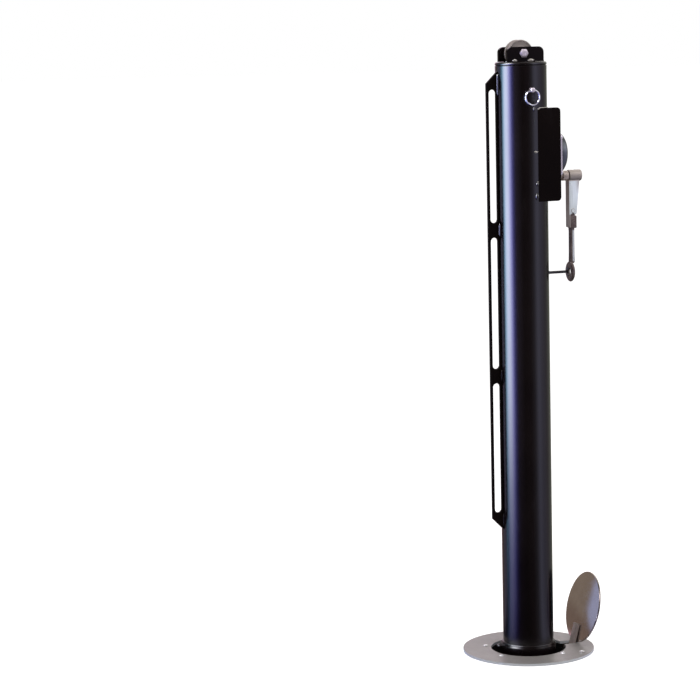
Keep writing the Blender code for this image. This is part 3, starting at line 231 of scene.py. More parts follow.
# Weld beads: width, rise and the length of one ripple, or the last two where the width varies
COLLAR_BEAD = (0.0034, 0.0011, 0.0030)
EYE_BEAD = (0.0016, 0.0006, 0.0012)
BAR_BEAD = (0.0050, 0.0020, 0.0026)
EAR_BEAD = (0.0060, 0.0030, 0.0032)
EAR_END_BEAD = (0.0036, 0.0014, 0.0022)
BOX_BEAD = (0.0050, 0.0012, 0.0026)
TOP_BEAD = (0.0022, 0.0013, 0.0026)
CORNER_BEAD = (0.0026, 0.0013, 0.0026)
STUD_BEAD = (0.0036, 0.0013, 0.0022)
STITCH_BEAD = (0.0030, 0.0036)
TOUCH_BEAD = (0.0022, 0.0030)

# Light: what polished surfaces find round the post, in degrees to the left of the camera
VIEW_SIDE = Vector((-0.3906, -0.9205, 0.0))
STUDIO = (
    # The wall behind the post and on its right
    (-180.0, (0.80, 0.76, 0.72)), (-150.0, (0.36, 0.38, 0.31)), (-110.0, (0.30, 0.28, 0.32)),
    # A pale panel on the right, and the dark room behind the camera
    (-84.0, (0.58, 0.56, 0.76)), (-66.0, (0.98, 0.98, 1.34)), (-47.0, (0.24, 0.23, 0.28)),
    (-30.0, (0.07, 0.05, 0.06)), (0.0, (0.04, 0.03, 0.03)), (32.0, (0.30, 0.26, 0.38)),
    # The tall window on the left
    (44.0, (0.80, 0.80, 3.60)), (54.0, (6.40, 6.40, 14.8)), (65.0, (14.6, 15.6, 21.4)),
    (75.0, (14.8, 16.4, 21.8)), (84.0, (9.20, 12.2, 16.4)), (92.0, (1.20, 3.40, 5.20)),
    # The wall on the left and behind
    (103.0, (0.34, 0.58, 0.92)), (111.0, (0.48, 0.34, 0.48)), (119.0, (0.40, 0.44, 0.66)),
    (126.9, (0.38, 0.43, 0.68)), (127.3, (0.24, 0.20, 0.17)), (146.0, (0.27, 0.23, 0.20)),
    (158.0, (0.80, 0.58, 0.74)),
)
STUDIO_PEAK = 24.0
STUDIO_TOP = (0.36, 0.32, 0.30)
WINDOW_DIM = 0.10
FLOOR_GLOW = 0.74
FLOOR_FADE = 2.2
FLOOR_FADE_POWER = 4.0
FLOOR_NEAR = 0.40
FLOOR_NEAR_TINT = (0.125, 0.115, 0.195)
FLOOR_BACK_TINT = (0.76, 0.68, 0.68)
WHITE = (1.0, 1.0, 1.0)
LAMP_PLACE = (0.2, -0.6, 3.2)
LAMP_AIM = Vector((0.0, 0.0, 0.5))
LAMP_SIZE = 2.0
LAMP_POWER = 55.0
LAMP_TINT = (1.0, 0.98, 0.96)

# Where the camera stands and looks, in radians and metres, with its focal length in widths
CAMERA_AZIMUTH = -0.40131162
CAMERA_DISTANCE = 4.06957523
CAMERA_HEIGHT = 1.08984104
CAMERA_PITCH = -0.13402508
CAMERA_YAW = -0.07479937
CAMERA_ROLL = -0.0236125
CAMERA_FOCAL = 2349.0 / 700.0

# Detail
TURN_STEPS = 144
SMALL_STEPS = 64
SCREW_STEPS = 40
ARC_STEPS = 10
WIRE_SIDES = 20
BEAD_SIDES = 12
ORIGIN = (0.0, 0.0, 0.0)
EVEN = (1.0, 1.0, 1.0)
QUARTER = math.pi / 2
ON_AXIS = 1e-7
random.seed(7)


# Mesh helpers

def frame_of(axis, origin=ORIGIN):
    """Return the matrix that lays local Z along a world axis."""
    turns = {"X": Matrix.Rotation(QUARTER, 4, "Y"), "Y": Matrix.Rotation(-QUARTER, 4, "X"),
             "Z": Matrix.Identity(4)}
    return Matrix.Translation(Vector(origin)) @ turns[axis]


def outline_frame(normal, origin=ORIGIN):
    """Return the matrix that stands a flat outline up, facing a world axis."""
    upright = Matrix.Rotation(QUARTER, 4, "X")
    turns = {"X": Matrix.Rotation(QUARTER, 4, "Z") @ upright, "Y": upright, "Z": Matrix.Identity(4)}
    return Matrix.Translation(Vector(origin)) @ turns[normal]


def link(name, mesh):
    """Add an object to the scene."""
    item = bpy.data.objects.new(name, mesh)
    bpy.context.scene.collection.objects.link(item)
    return item


def from_bmesh(name, shape):
    """Turn a bmesh into an object with its normals outwards."""
    bmesh.ops.recalc_face_normals(shape, faces=shape.faces)
    mesh = bpy.data.meshes.new(name)
    shape.to_mesh(mesh)
    shape.free()
    return link(name, mesh)


def polar(radius, degrees):
    """Return a point at a radius and an angle."""
    angle = math.radians(degrees)
    return (radius * math.cos(angle), radius * math.sin(angle))


def round_about(count):
    """Return the unit directions round a circle."""
    return [polar(1.0, 360.0 * step / count) for step in range(count)]


def skin(shape, rows, closed, capped=False):
    """Join rows of points by faces, and close the ends where asked."""
    pairs = list(zip(rows, rows[1:]))
    if closed:
        pairs.append((rows[-1], rows[0]))
    for first, second in pairs:
        for step in range(len(first)):
            following = (step + 1) % len(first)
            corners = (first[step], first[following], second[following], second[step])
            unique = list(dict.fromkeys(corners))
            if len(unique) > 2:
                shape.faces.new(unique)
    if capped:
        shape.faces.new(rows[0])
        shape.faces.new(rows[-1])


def lathe(name, profile, axis="Z", origin=ORIGIN, steps=TURN_STEPS, ring=False):
    """Spin (radius, height) points round an axis."""
    shape = bmesh.new()
    rows = []
    for radius, height in profile:
        if radius < ON_AXIS:
            rows.append([shape.verts.new((0.0, 0.0, height))] * steps)
        else:
            rows.append([shape.verts.new((radius * x, radius * y, height)) for x, y in round_about(steps)])
    skin(shape, rows, ring)
    shape.transform(frame_of(axis, origin))
    return from_bmesh(name, shape)


def soften(profile, radius, steps=4, closed=False):
    """Round the corners of a profile. Points on the axis and wide corners stay sharp."""
    count = len(profile)
    points = []
    for index, corner in enumerate(profile):
        inner = closed or 0 < index < count - 1
        if not inner or corner[0] < ON_AXIS:
            points.append(corner)
            continue
        here = Vector(corner)
        before = Vector(profile[index - 1]) - here
        after = Vector(profile[(index + 1) % count]) - here
        turn = before.angle(after, math.pi)
        if turn > math.radians(160.0):
            points.append(corner)
            continue
        reach = min(radius / math.tan(turn / 2), before.length * 0.45, after.length * 0.45)
        start = here + before.normalized() * reach
        end = here + after.normalized() * reach
        for step in range(steps + 1):
            share = step / steps
            mixed = start.lerp(here, share).lerp(here.lerp(end, share), share)
            points.append((mixed.x, mixed.y))
    return points


def drum(name, radius, low, high, axis="Z", origin=ORIGIN, edge=0.0005, steps=SMALL_STEPS):
    """Make a cylinder with rounded rims."""
    profile = soften([(0.0, high), (radius, high), (radius, low), (0.0, low)], edge)
    return lathe(name, profile, axis, origin, steps)


def sleeve(name, inner, outer, low, high, axis="Z", origin=ORIGIN, edge=0.0005, steps=TURN_STEPS):
    """Make a tube with rounded rims."""
    profile = [(outer, high), (outer, low), (inner, low), (inner, high)]
    return lathe(name, soften(profile, edge, closed=True), axis, origin, steps, ring=True)


def bake(item):
    """Replace an object by a plain mesh of what its modifiers make."""
    bpy.context.view_layer.update()
    graph = bpy.context.evaluated_depsgraph_get()
    mesh = bpy.data.meshes.new_from_object(item.evaluated_get(graph))
    name = item.name
    matrix = item.matrix_world.copy()
    bpy.data.objects.remove(item, do_unlink=True)
    mesh.transform(matrix)
    shape = bmesh.new()
    shape.from_mesh(mesh)
    bmesh.ops.remove_doubles(shape, verts=shape.verts, dist=0.000002)
    shape.to_mesh(mesh)
    shape.free()
    mesh.name = name
    return link(name, mesh)


def slab(name, outlines, thickness, normal="Z", centre=ORIGIN):
    """Make a flat plate from closed outlines, the outer one first, then its holes."""
    curve = bpy.data.curves.new(name, "CURVE")
    curve.dimensions = "2D"
    curve.fill_mode = "BOTH"
    curve.extrude = thickness / 2
    for outline in outlines:
        spline = curve.splines.new("POLY")
        spline.points.add(len(outline) - 1)
        for point, (x, y) in zip(spline.points, outline):
            point.co = (x, y, 0.0, 1.0)
        spline.use_cyclic_u = True
    solid = bake(link(name, curve))
    solid.data.transform(outline_frame(normal, centre))
    return solid


def round_edges(item, width, segments=3, angle=38.0):
    """Bevel an object's sharp edges."""
    bevel = item.modifiers.new("edges", "BEVEL")
    bevel.width = width
    bevel.segments = segments
    bevel.limit_method = "ANGLE"
    bevel.angle_limit = math.radians(angle)
    bevel.use_clamp_overlap = True
    return bake(item)


def combine(item, other, operation="DIFFERENCE"):
    """Cut an object by another, or join them."""
    change = item.modifiers.new("cut", "BOOLEAN")
    change.object = other
    change.operation = operation
    change.solver = "EXACT"
    result = bake(item)
    bpy.data.objects.remove(other, do_unlink=True)
    return result


def block(name, low, high):
    """Make a box between two corners."""
    shape = bmesh.new()
    bmesh.ops.create_cube(shape, size=1.0)
    low = Vector(low)
    high = Vector(high)
    bmesh.ops.scale(shape, vec=high - low, verts=shape.verts)
    bmesh.ops.translate(shape, vec=(low + high) / 2, verts=shape.verts)
    return from_bmesh(name, shape)


def arc(centre, radius, start, end, steps=ARC_STEPS):
    """Return points along an arc, with angles in degrees."""
    points = []
    for index in range(steps + 1):
        x, y = polar(radius, start + (end - start) * index / steps)
        points.append((centre[0] + x, centre[1] + y))
    return points


def circle(centre, radius, steps=SMALL_STEPS):
    """Return the points of a full circle."""
    return arc(centre, radius, 0.0, 360.0, steps)[:-1]


def rounded_box(low_x, low_y, high_x, high_y, corner):
    """Return a rectangle's outline with round corners."""
    outline = []
    for x, y, start in ((high_x - corner, high_y - corner, 0.0), (low_x + corner, high_y - corner, 90.0),
                        (low_x + corner, low_y + corner, 180.0), (high_x - corner, low_y + corner, 270.0)):
        outline += arc((x, y), corner, start, start + 90.0)
    return outline


def upright_slot(low_x, high_x, low_y, high_y):
    """Return the outline of an upright slot with round ends."""
    radius = (high_x - low_x) / 2
    middle = (low_x + high_x) / 2
    outline = arc((middle, high_y - radius), radius, 0.0, 180.0, 24)
    outline += arc((middle, low_y + radius), radius, 180.0, 360.0, 24)
    return outline


def swept(name, path, radius, closed=False):
    """Make a round wire through points, with flat ends where it is open."""
    places = [Vector(point) for point in path]
    count = len(places)
    shape = bmesh.new()
    rows = []
    side = None
    for index, place in enumerate(places):
        if closed:
            ahead = places[(index + 1) % count] - places[index - 1]
        else:
            ahead = places[min(index + 1, count - 1)] - places[max(index - 1, 0)]
        ahead.normalize()
        if side is None:
            side = ahead.orthogonal().normalized()
        side = (side - ahead * side.dot(ahead)).normalized()
        other = ahead.cross(side)
        corners = [place + (side * x + other * y) * radius for x, y in round_about(WIRE_SIDES)]
        rows.append([shape.verts.new(corner) for corner in corners])
    skin(shape, rows, closed, not closed)
    return from_bmesh(name, shape)


def bead(name, path, out, width, rise, pitch, closed=False):
    """Lay a rippled weld bead along a path. out is the way it stands, or a list with one per point."""
    places = [Vector(point) for point in path]
    ways = out if isinstance(out, list) else [out] * len(places)
    if closed:
        places.append(places[0])
        ways = ways + [ways[0]]
    lengths = [0.0]
    for first, second in zip(places, places[1:]):
        lengths.append(lengths[-1] + (second - first).length)
    total = lengths[-1]
    count = max(6, round(total / (pitch / 5)))
    shape = bmesh.new()
    rows = []
    segment = 0
    wander = 0.0
    for index in range(count if closed else count + 1):
        along = total * index / count
        while segment < len(places) - 2 and lengths[segment + 1] < along:
            segment += 1
        share = (along - lengths[segment]) / (lengths[segment + 1] - lengths[segment])
        place = places[segment].lerp(places[segment + 1], share)
        up = Vector(ways[segment]).lerp(Vector(ways[segment + 1]), share).normalized()
        side = (places[segment + 1] - places[segment]).normalized().cross(up).normalized()
        wander = wander * 0.8 + random.uniform(-0.08, 0.08)
        taper = 1.0
        if not closed:
            end = min(along, total - along) / (width * 0.8)
            taper = math.sqrt(max(0.02, min(1.0, end)))
        row = []
        for x, y in round_about(BEAD_SIDES):
            lag = 0.45 * pitch * x ** 2
            ripple = 1.0 + 0.10 * math.cos(2 * math.pi * (along + lag) / pitch)
            across = width / 2 * x * taper * (1.0 + 0.5 * wander) + wander * width * 0.25
            row.append(shape.verts.new(place + side * across + up * (rise * y * taper * ripple)))
        rows.append(row)
    skin(shape, rows, closed, not closed)
    return from_bmesh(name, shape)


def join(name, items):
    """Join objects into one."""
    shape = bmesh.new()
    for item in items:
        shape.from_mesh(item.data)
        bpy.data.objects.remove(item, do_unlink=True)
    mesh = bpy.data.meshes.new(name)
    shape.to_mesh(mesh)
    shape.free()
    return link(name, mesh)


def dress(item, material, node="", body="post", sharp=42.0):
    """Give a finished piece its shading, material and body, and hide the solid that it stands for."""
    item.data.materials.clear()
    item.data.materials.append(material)
    item.data.shade_smooth()
    item.data.set_sharp_from_angle(angle=math.radians(sharp))
    even = item.modifiers.new("shading", "WEIGHTED_NORMAL")
    even.weight = 100
    even.keep_sharp = True
    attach(item, body)
    if node:
        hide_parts(node)


# Materials

class Graph:
    """A node tree with short ways to add nodes. A value is a number, a colour or a socket."""

    def __init__(self, owner):
        owner.use_nodes = True
        self.owner = owner
        self.tree = owner.node_tree

    def put(self, value, socket):
        """Give a socket its value."""
        if isinstance(value, bpy.types.NodeSocket):
            self.tree.links.new(value, socket)
        elif isinstance(value, tuple) and len(socket.default_value) == 4:
            socket.default_value = (*value, 1.0)
        else:
            socket.default_value = value

    def add(self, kind, values=None, **settings):
        """Add a node, set what it is and give its sockets their values."""
        node = self.tree.nodes.new("ShaderNode" + kind)
        for key, value in settings.items():
            setattr(node, key, value)
        for key, value in (values or {}).items():
            self.put(value, node.inputs[key])
        return node

    def place(self, stretch=EVEN):
        """Return object coordinates in metres, stretched along the axes."""
        values = {"Vector": self.add("TexCoord").outputs["Object"], "Scale": stretch}
        return self.add("Mapping", values).outputs["Vector"]

    def noise(self, scale, detail=3.0, stretch=EVEN, rough=0.5):
        """Return a noise texture's value."""
        values = {"Vector": self.place(stretch), "Scale": scale, "Detail": detail, "Roughness": rough}
        return self.add("TexNoise", values).outputs["Fac"]

    def span(self, value, low, high, out_low=0.0, out_high=1.0):
        """Map a value's range to another range."""
        values = {"Value": value, "From Min": low, "From Max": high, "To Min": out_low, "To Max": out_high}
        return self.add("MapRange", values).outputs["Result"]

    def blend(self, share, first, second):
        """Mix two colours."""
        node = self.add("Mix", {"Factor": share}, data_type="RGBA")
        colours = [socket for socket in node.inputs if socket.type == "RGBA"]
        for socket, value in zip(colours, (first, second)):
            self.put(value, socket)
        return [socket for socket in node.outputs if socket.type == "RGBA"][0]

    def math(self, operation, first, second):
        """Combine two values."""
        return self.add("Math", {0: first, 1: second}, operation=operation).outputs["Value"]

    def plus(self, first, second):
        """Add two values."""
        return self.math("ADD", first, second)

    def times(self, first, second):
        """Multiply two values."""
        return self.math("MULTIPLY", first, second)

    def most(self, first, second):
        """Return the larger of two values."""
        return self.math("MAXIMUM", first, second)

    def tinted(self, first, second):
        """Multiply two colours."""
        return self.add("VectorMath", {0: first, 1: second}, operation="MULTIPLY").outputs["Vector"]

    def split(self, value):
        """Return a vector's three parts."""
        return self.add("SeparateXYZ", {"Vector": value}).outputs

    def bump(self, height, distance, strength):
        """Return the normal of a raised surface."""
        values = {"Height": height, "Distance": distance, "Strength": strength}
        return self.add("Bump", values).outputs["Normal"]

    def finish(self, values):
        """Give the surface shader's sockets their values and return the material."""
        for key, value in values.items():
            self.put(value, self.tree.nodes["Principled BSDF"].inputs[key])
        return self.owner


def dimmed(colour, share):
    """Return a darker colour."""
    return tuple(part * share for part in colour)


def black_coat(name, dark, light, rough, gloss):
    """Glossy black powder coat with a fine orange peel and faint handling marks."""
    graph = Graph(bpy.data.materials.new(name))
    cloud = graph.noise(9.0, 4.0)
    dust = graph.span(graph.noise(60.0, 6.0, (1.0, 1.0, 0.25), 0.7), 0.60, 0.78)
    tint = graph.blend(graph.span(cloud, 0.35, 0.68), dark, light)
    uneven = graph.span(cloud, 0.3, 0.7, rough - 0.03, rough + 0.03)
    return graph.finish({
        "Base Color": graph.blend(graph.times(dust, 0.12), tint, (0.030, 0.027, 0.028)),
        "Roughness": graph.plus(uneven, graph.times(dust, 0.08)),
        "Specular IOR Level": gloss,
        "Normal": graph.bump(graph.noise(1100.0, 2.0), 0.00002, 0.35),
    })


def plated(name, dull, bright, rough, grain=1400.0, depth=0.00003, metallic=1.0, gloss=0.5):
    """Metal plating with cloudy colour, fine grain and worn spots."""
    graph = Graph(bpy.data.materials.new(name))
    cloud = graph.noise(45.0, 5.0, rough=0.6)
    fine = graph.noise(grain)
    mixed = graph.plus(graph.times(cloud, 0.7), graph.times(fine, 0.3))
    return graph.finish({
        "Base Color": graph.blend(graph.span(mixed, 0.36, 0.64), dull, bright),
        "Roughness": graph.span(mixed, 0.35, 0.65, rough + 0.06, rough - 0.06),
        "Metallic": metallic,
        "Specular IOR Level": gloss,
        "Normal": graph.bump(fine, depth, 0.5),
    })


def milled(name, dull, bright, face, rough, side, square, facing_range, height_range):
    """Forged metal with a painted highlight between two heights, where it faces along one axis, and painted
    shade where it faces down.
    """
    graph = Graph(bpy.data.materials.new(name))
    cloud = graph.noise(45.0, 5.0, rough=0.6)
    fine = graph.noise(600.0)
    strokes = graph.noise(420.0, 2.0, (1.0, 1.0, 0.06))
    coordinates = graph.add("TexCoord").outputs
    normal = graph.split(coordinates["Normal"])
    height = graph.split(coordinates["Object"])["Z"]
    forged = graph.blend(graph.span(cloud, 0.36, 0.64), dull, bright)
    # Painted shade: faces that look down take a darker copy of the colour
    forged = graph.blend(graph.span(normal["Z"], -0.75, -0.10), dimmed(dull, 0.35), forged)
    # Painted highlight: the bright colour, with fine strokes, on the faces that look along the axis
    cut = graph.blend(graph.span(strokes, 0.35, 0.65), dimmed(face, 0.90), face)
    facing = normal[side]
    if square:
        facing = graph.times(facing, facing)
    low, high = height_range
    between = graph.times(graph.span(height, low - 0.001, low + 0.001),
                          graph.span(height, high + 0.001, high))
    painted_highlight_mask = graph.times(graph.span(facing, *facing_range), between)
    return graph.finish({
        "Base Color": graph.blend(painted_highlight_mask, forged, cut),
        "Roughness": graph.span(fine, 0.35, 0.65, rough + 0.06, rough - 0.06),
        "Metallic": 0.30,
        "Normal": graph.bump(graph.plus(fine, strokes), 0.000006, 0.4),
    })


def rolled(name, dull, bright, rough):
    """Smooth sheet whose inner face mirrors less where it is met square on."""
    graph = Graph(bpy.data.materials.new(name))
    fine = graph.noise(260.0)
    tint = graph.blend(graph.span(graph.noise(30.0, 5.0, rough=0.6), 0.36, 0.64), dull, bright)
    outer = graph.span(graph.split(graph.add("TexCoord").outputs["Normal"])["X"], 0.2, 0.6)
    slant = graph.span(graph.add("LayerWeight").outputs["Facing"], 0.12, 0.48)
    mirror = graph.blend(graph.most(slant, outer), (0.24, 0.22, 0.21), WHITE)
    return graph.finish({
        "Base Color": graph.tinted(tint, mirror),
        "Roughness": graph.span(fine, 0.35, 0.65, rough + 0.03, rough - 0.03),
        "Metallic": 1.0,
        "Normal": graph.bump(fine, 0.000004, 0.5),
    })


def spun(name, dull, bright, edge, rough):
    """Satin steel sheet with a fine turned grain and a few scuffs, a painted shadow line on the upper part
    of its rounded edge and a painted highlight on the steep part of the edge.
    """
    graph = Graph(bpy.data.materials.new(name))
    coordinates = graph.add("TexCoord").outputs
    values = {"Vector": coordinates["Object"], "Scale": 160.0, "Distortion": 3.0, "Detail": 3.0}
    rings = graph.add("TexWave", values, wave_type="RINGS", rings_direction="Z").outputs["Fac"]
    scuff = graph.noise(130.0, 6.0, rough=0.75)
    mixed = graph.plus(graph.times(graph.noise(22.0, 5.0), 0.8), graph.times(rings, 0.2))
    colour = graph.blend(graph.span(mixed, 0.35, 0.7), dull, bright)
    colour = graph.blend(graph.span(scuff, 0.62, 0.72, 0.0, 0.45), colour, dimmed(dull, 0.7))
    up = graph.split(coordinates["Normal"])["Z"]
    flat = graph.times(up, up)
    # Painted shadow line: the upper part of the rounded edge takes a near-black colour
    colour = graph.blend(graph.span(flat, 0.90, 0.98), (0.050, 0.045, 0.055), colour)
    return graph.finish({
        # Painted highlight: the steep part of the edge takes the bright edge colour
        "Base Color": graph.blend(graph.span(flat, 0.45, 0.62), edge, colour),
        "Roughness": graph.span(scuff, 0.3, 0.75, rough - 0.05, rough + 0.10),
        "Metallic": 0.06,
        "Normal": graph.bump(rings, 0.00002, 0.25),
    })


def rusty(name, base, rust, rough):
    """Bare dark steel with a film of rust."""
    graph = Graph(bpy.data.materials.new(name))
    patch = graph.noise(70.0, 8.0, rough=0.7)
    return graph.finish({
        "Base Color": graph.blend(graph.span(patch, 0.52, 0.66), base, rust),
        "Roughness": graph.span(patch, 0.45, 0.65, rough, 0.9),
        "Metallic": 0.6,
        "Normal": graph.bump(patch, 0.00015, 0.6),
    })


BLACK = black_coat("gloss_black_coat", (0.0045, 0.0028, 0.0034), (0.0075, 0.0048, 0.0052), 0.20, 0.50)
BOX_BLACK = black_coat("box_black_coat", (0.0034, 0.0018, 0.0015), (0.0060, 0.0034, 0.0028), 0.26, 0.08)
EAR_BLACK = black_coat("ear_black_coat", (0.0040, 0.0022, 0.0026), (0.0070, 0.0040, 0.0044), 0.20, 0.16)
BEAD_BLACK = black_coat("weld_black_coat", (0.0160, 0.0140, 0.0140), (0.0260, 0.0230, 0.0230), 0.16, 1.00)
ZINC = plated("zinc_plate", (0.50, 0.45, 0.43), (0.74, 0.70, 0.68), 0.34)
HOUSING = plated("housing_plate", (0.095, 0.10, 0.105), (0.16, 0.17, 0.175), 0.36)
# The arm's faces to front and back and the handle rod's side towards +X carry a painted highlight in the
# third colour
ARM = milled("milled_arm", (0.38, 0.33, 0.30), (0.50, 0.44, 0.41), (0.90, 0.97, 1.00), 0.34,
             "Y", True, (0.90, 0.97), (ARM_FLANGE_END, CRANK_HEIGHT - HUB_RADIUS))
HANDLE = milled("forged_handle", (0.115, 0.084, 0.080), (0.225, 0.178, 0.168), (0.62, 0.64, 0.66), 0.28,
                "X", False, (-0.30, 0.15), (EYE.z + EYE_HALF_HEIGHT, TONGUE_END - 0.004))
BOLT = plated("bolt_zinc", (0.66, 0.58, 0.68), (0.90, 0.82, 0.92), 0.26, 700.0, metallic=0.5)
# Painted highlight: a pale weld colour for the beads that show bright glints
PAINTED_WELD_HIGHLIGHT = plated("worn_weld", (0.34, 0.32, 0.29), (0.58, 0.55, 0.50), 0.28, 700.0, metallic=0.3)
WHEEL = plated("sheave_zinc", (0.27, 0.235, 0.225), (0.37, 0.325, 0.315), 0.50, 700.0, 0.00005, 0.0, 0.12)
BRIGHT = plated("bright_steel", (0.76, 0.76, 0.78), (0.90, 0.90, 0.92), 0.15, 900.0, 0.00001)
SCREW = plated("screw_chrome", (0.84, 0.84, 0.86), (0.95, 0.95, 0.96), 0.24, 900.0, 0.00001, 0.6)
# The plate's fourth colour is its painted edge highlight
PLATE = spun("satin_plate", (0.210, 0.196, 0.190), (0.270, 0.252, 0.244), (0.62, 0.64, 0.68), 0.42)
LID = rolled("satin_lid", (0.58, 0.51, 0.46), (0.66, 0.59, 0.54), 0.07)
STRAP = plated("satin_strap", (0.42, 0.35, 0.31), (0.52, 0.44, 0.39), 0.36, 500.0, 0.00001, 0.4)
IRON = rusty("plain_steel", (0.045, 0.042, 0.043), (0.085, 0.050, 0.032), 0.5)
PIT = rusty("dark_pocket", (0.012, 0.011, 0.011), (0.020, 0.014, 0.011), 0.6)
BRONZE = plated("bearing_bronze", (0.40, 0.25, 0.11), (0.56, 0.37, 0.18), 0.36)
LINING = rusty("brake_lining", (0.060, 0.048, 0.040), (0.090, 0.070, 0.055), 0.85)


# The tube and its foot

def make_tube():
    """The tube with the reel's window and the pin hole, and the collar and eye at its foot."""
    inner = POST_RADIUS - POST_WALL
    item = sleeve("tube_shell", inner, POST_RADIUS, -POST_BURIED, POST_TOP, edge=TUBE_EDGE)
    item = combine(item, block("window", *REEL_WINDOW))
    hole = drum("hole", LOCK_PIN_RADIUS + SEAT, -0.06, -0.03, "Y", (0, 0, LOCK_HEIGHT), 0.0)
    dress(combine(item, hole), BLACK, "post_tube")

    inner = POST_RADIUS + SEAT
    profile = [(COLLAR_RADIUS, COLLAR_BOTTOM), (inner, COLLAR_BOTTOM), (inner, COLLAR_TOP),
               (COLLAR_RADIUS - 0.0026, COLLAR_TOP), (COLLAR_RADIUS, COLLAR_TOP - 0.0042)]
    item = lathe("collar_shell", soften(profile, 0.0016, 5, closed=True), ring=True)
    dress(item, EAR_BLACK, "foot_collar")
    radius = POST_RADIUS + 0.0008
    around = round_about(72)
    ring = [(radius * x, radius * y, COLLAR_TOP + 0.0001) for x, y in around]
    ways = [(x, y, 0.9) for x, y in around]
    dress(bead("collar_weld", ring, ways, *COLLAR_BEAD, closed=True), BLACK)

    start = COLLAR_RADIUS + SEAT
    bow = start + FOOT_EYE_REACH - FOOT_EYE_WIRE - FOOT_EYE_RADIUS
    outline = [(-start, -FOOT_EYE_RADIUS), *arc((-bow, 0.0), FOOT_EYE_RADIUS, 270.0, 90.0, 24),
               (-start, FOOT_EYE_RADIUS)]
    item = swept("foot_eye", [(x, y, FOOT_EYE_HEIGHT) for x, y in outline], FOOT_EYE_WIRE)
    dress(item, BLACK, "foot_lacing_eye")
    beads = []
    for side in (-1, 1):
        ring = [(0.0002 - start, side * FOOT_EYE_RADIUS + FOOT_EYE_WELD * y,
                 FOOT_EYE_HEIGHT + FOOT_EYE_WELD * z) for y, z in round_about(24)]
        ways = [(-0.7, 0.84 * y, 0.84 * z) for y, z in round_about(24)]
        beads.append(bead("eye_weld", ring, ways, *EYE_BEAD, closed=True))
    dress(join("foot_eye_weld", beads), BEAD_BLACK)


def make_lacing_bar():
    """The slotted bar with its welds on the tube."""
    width = BAR_INNER - BAR_OUTER
    outlines = [[(BAR_INNER, BAR_LOW - width), (BAR_INNER, BAR_HIGH + width), (BAR_OUTER, BAR_HIGH),
                 (BAR_OUTER, BAR_LOW)]]
    outlines += [upright_slot(*BAR_SLOT_X, low, high) for low, high in BAR_SLOTS]
    dress(round_edges(slab("bar_plate", outlines, BAR_THICKNESS, "Y"), 0.0006), BOX_BLACK, "lacing_bar")

    x = BAR_INNER + 0.0008
    welds = (("bar_weld_low", BOX_BLACK, BAR_WELDS_LOW), ("bar_weld", BEAD_BLACK, BAR_WELDS_HIGH))
    for name, coat, seams in welds:
        beads = []
        for side in (-1, 1):
            y = side * (BAR_THICKNESS / 2 + WELD_LIFT)
            for low, high in seams:
                ends = ((x, y, low), (x, y, high))
                beads.append(bead("seam", ends, (-0.75, side, 0.0), *BAR_BEAD))
        dress(join(name, beads), coat)


# The head

def hex_head(name, low, high, ends):
    """Make a hexagon on the axle with a turned chamfer on the ends that are named."""
    corner = HEX_ACROSS / 2 / math.cos(math.pi / 6)
    prism = lathe(name, [(0.0, high), (corner, high), (corner, low), (0.0, low)], "Y", AXLE, 6)
    drop = (corner - HEX_ACROSS / 2) * HEX_DROP
    face = HEX_ACROSS / 2 * HEX_FACE
    clear = 0.001
    upper = [(0.0, high + clear), (corner * 1.2, high + clear)]
    lower = [(corner * 1.2, low - clear), (0.0, low - clear)]
    if "high" in ends:
        upper = [(0.0, high), (face, high), (corner * 1.02, high - drop)]
    if "low" in ends:
        lower = [(corner * 1.02, low + drop), (face, low), (0.0, low)]
    return combine(prism, lathe("chamfer", upper + lower, "Y", AXLE, SMALL_STEPS), "INTERSECT")


def make_cap_and_ears():
    """The cap, the two ears on it and their welds."""
    profile = [(0.0, CAP_TOP)]
    profile += reversed(arc((POST_RADIUS - CAP_EDGE, CAP_TOP - CAP_EDGE), CAP_EDGE, 0.0, 90.0, 12))
    profile += [(POST_RADIUS, CAP_BOTTOM + 0.0012), (POST_RADIUS - 0.0012, CAP_BOTTOM), (0.0, CAP_BOTTOM)]
    cap = lathe("cap_plate", profile, steps=2 * TURN_STEPS)
    slot = rounded_box(AXLE.x - CAP_SLOT[0], -CAP_SLOT[1], AXLE.x + CAP_SLOT[0], CAP_SLOT[1], 0.004)
    dress(combine(cap, slab("well", [slot], 0.02, "Z", (0, 0, CAP_TOP))), BLACK, "head_cap")

    half = EAR_WIDTH / 2
    high = EAR_BOTTOM + EAR_HEIGHT
    outline = [(-half, EAR_BOTTOM), (half, EAR_BOTTOM)]
    outline += arc((half - EAR_CORNER, high - EAR_CORNER), EAR_CORNER, 0.0, 90.0, 20)
    outline += arc((EAR_CORNER - half, high - EAR_CORNER), EAR_CORNER, 90.0, 180.0, 20)
    hole = circle((AXLE.x, AXLE.z), AXLE_RADIUS + SEAT)
    for name, side in (("ear_front", -1), ("ear_back", 1)):
        middle = side * (EAR_OUTSIDE + EAR_INSIDE) / 2
        item = slab(name + "_plate", [outline, hole], EAR_THICKNESS, "Y", (0, middle, 0))
        dress(round_edges(item, 0.0012, 4), EAR_BLACK, name)

    beads = []
    seams = []
    for side in (-1, 1):
        y = side * (EAR_OUTSIDE + WELD_LIFT)
        z = CAP_TOP + 0.0022
        for centre, length in EAR_SEAMS:
            ends = ((centre - length / 2, y, z), (centre + length / 2, y, z))
            seams.append(bead("ear_seam", ends, (0.0, side, 0.7), *EAR_BEAD))
        z = CAP_TOP + 0.0006
        for end in (-1, 1):
            x = end * (half + 0.0005)
            ends = ((x, side * (EAR_INSIDE + 0.001), z), (x, side * (EAR_INSIDE + 0.005), z))
            beads.append(bead("ear_end", ends, (end, 0.0, 1.0), *EAR_END_BEAD))
    dress(join("ear_weld", beads), BEAD_BLACK)
    # The seams on the ears carry a painted highlight
    dress(join("ear_seam_weld", seams), PAINTED_WELD_HIGHLIGHT)


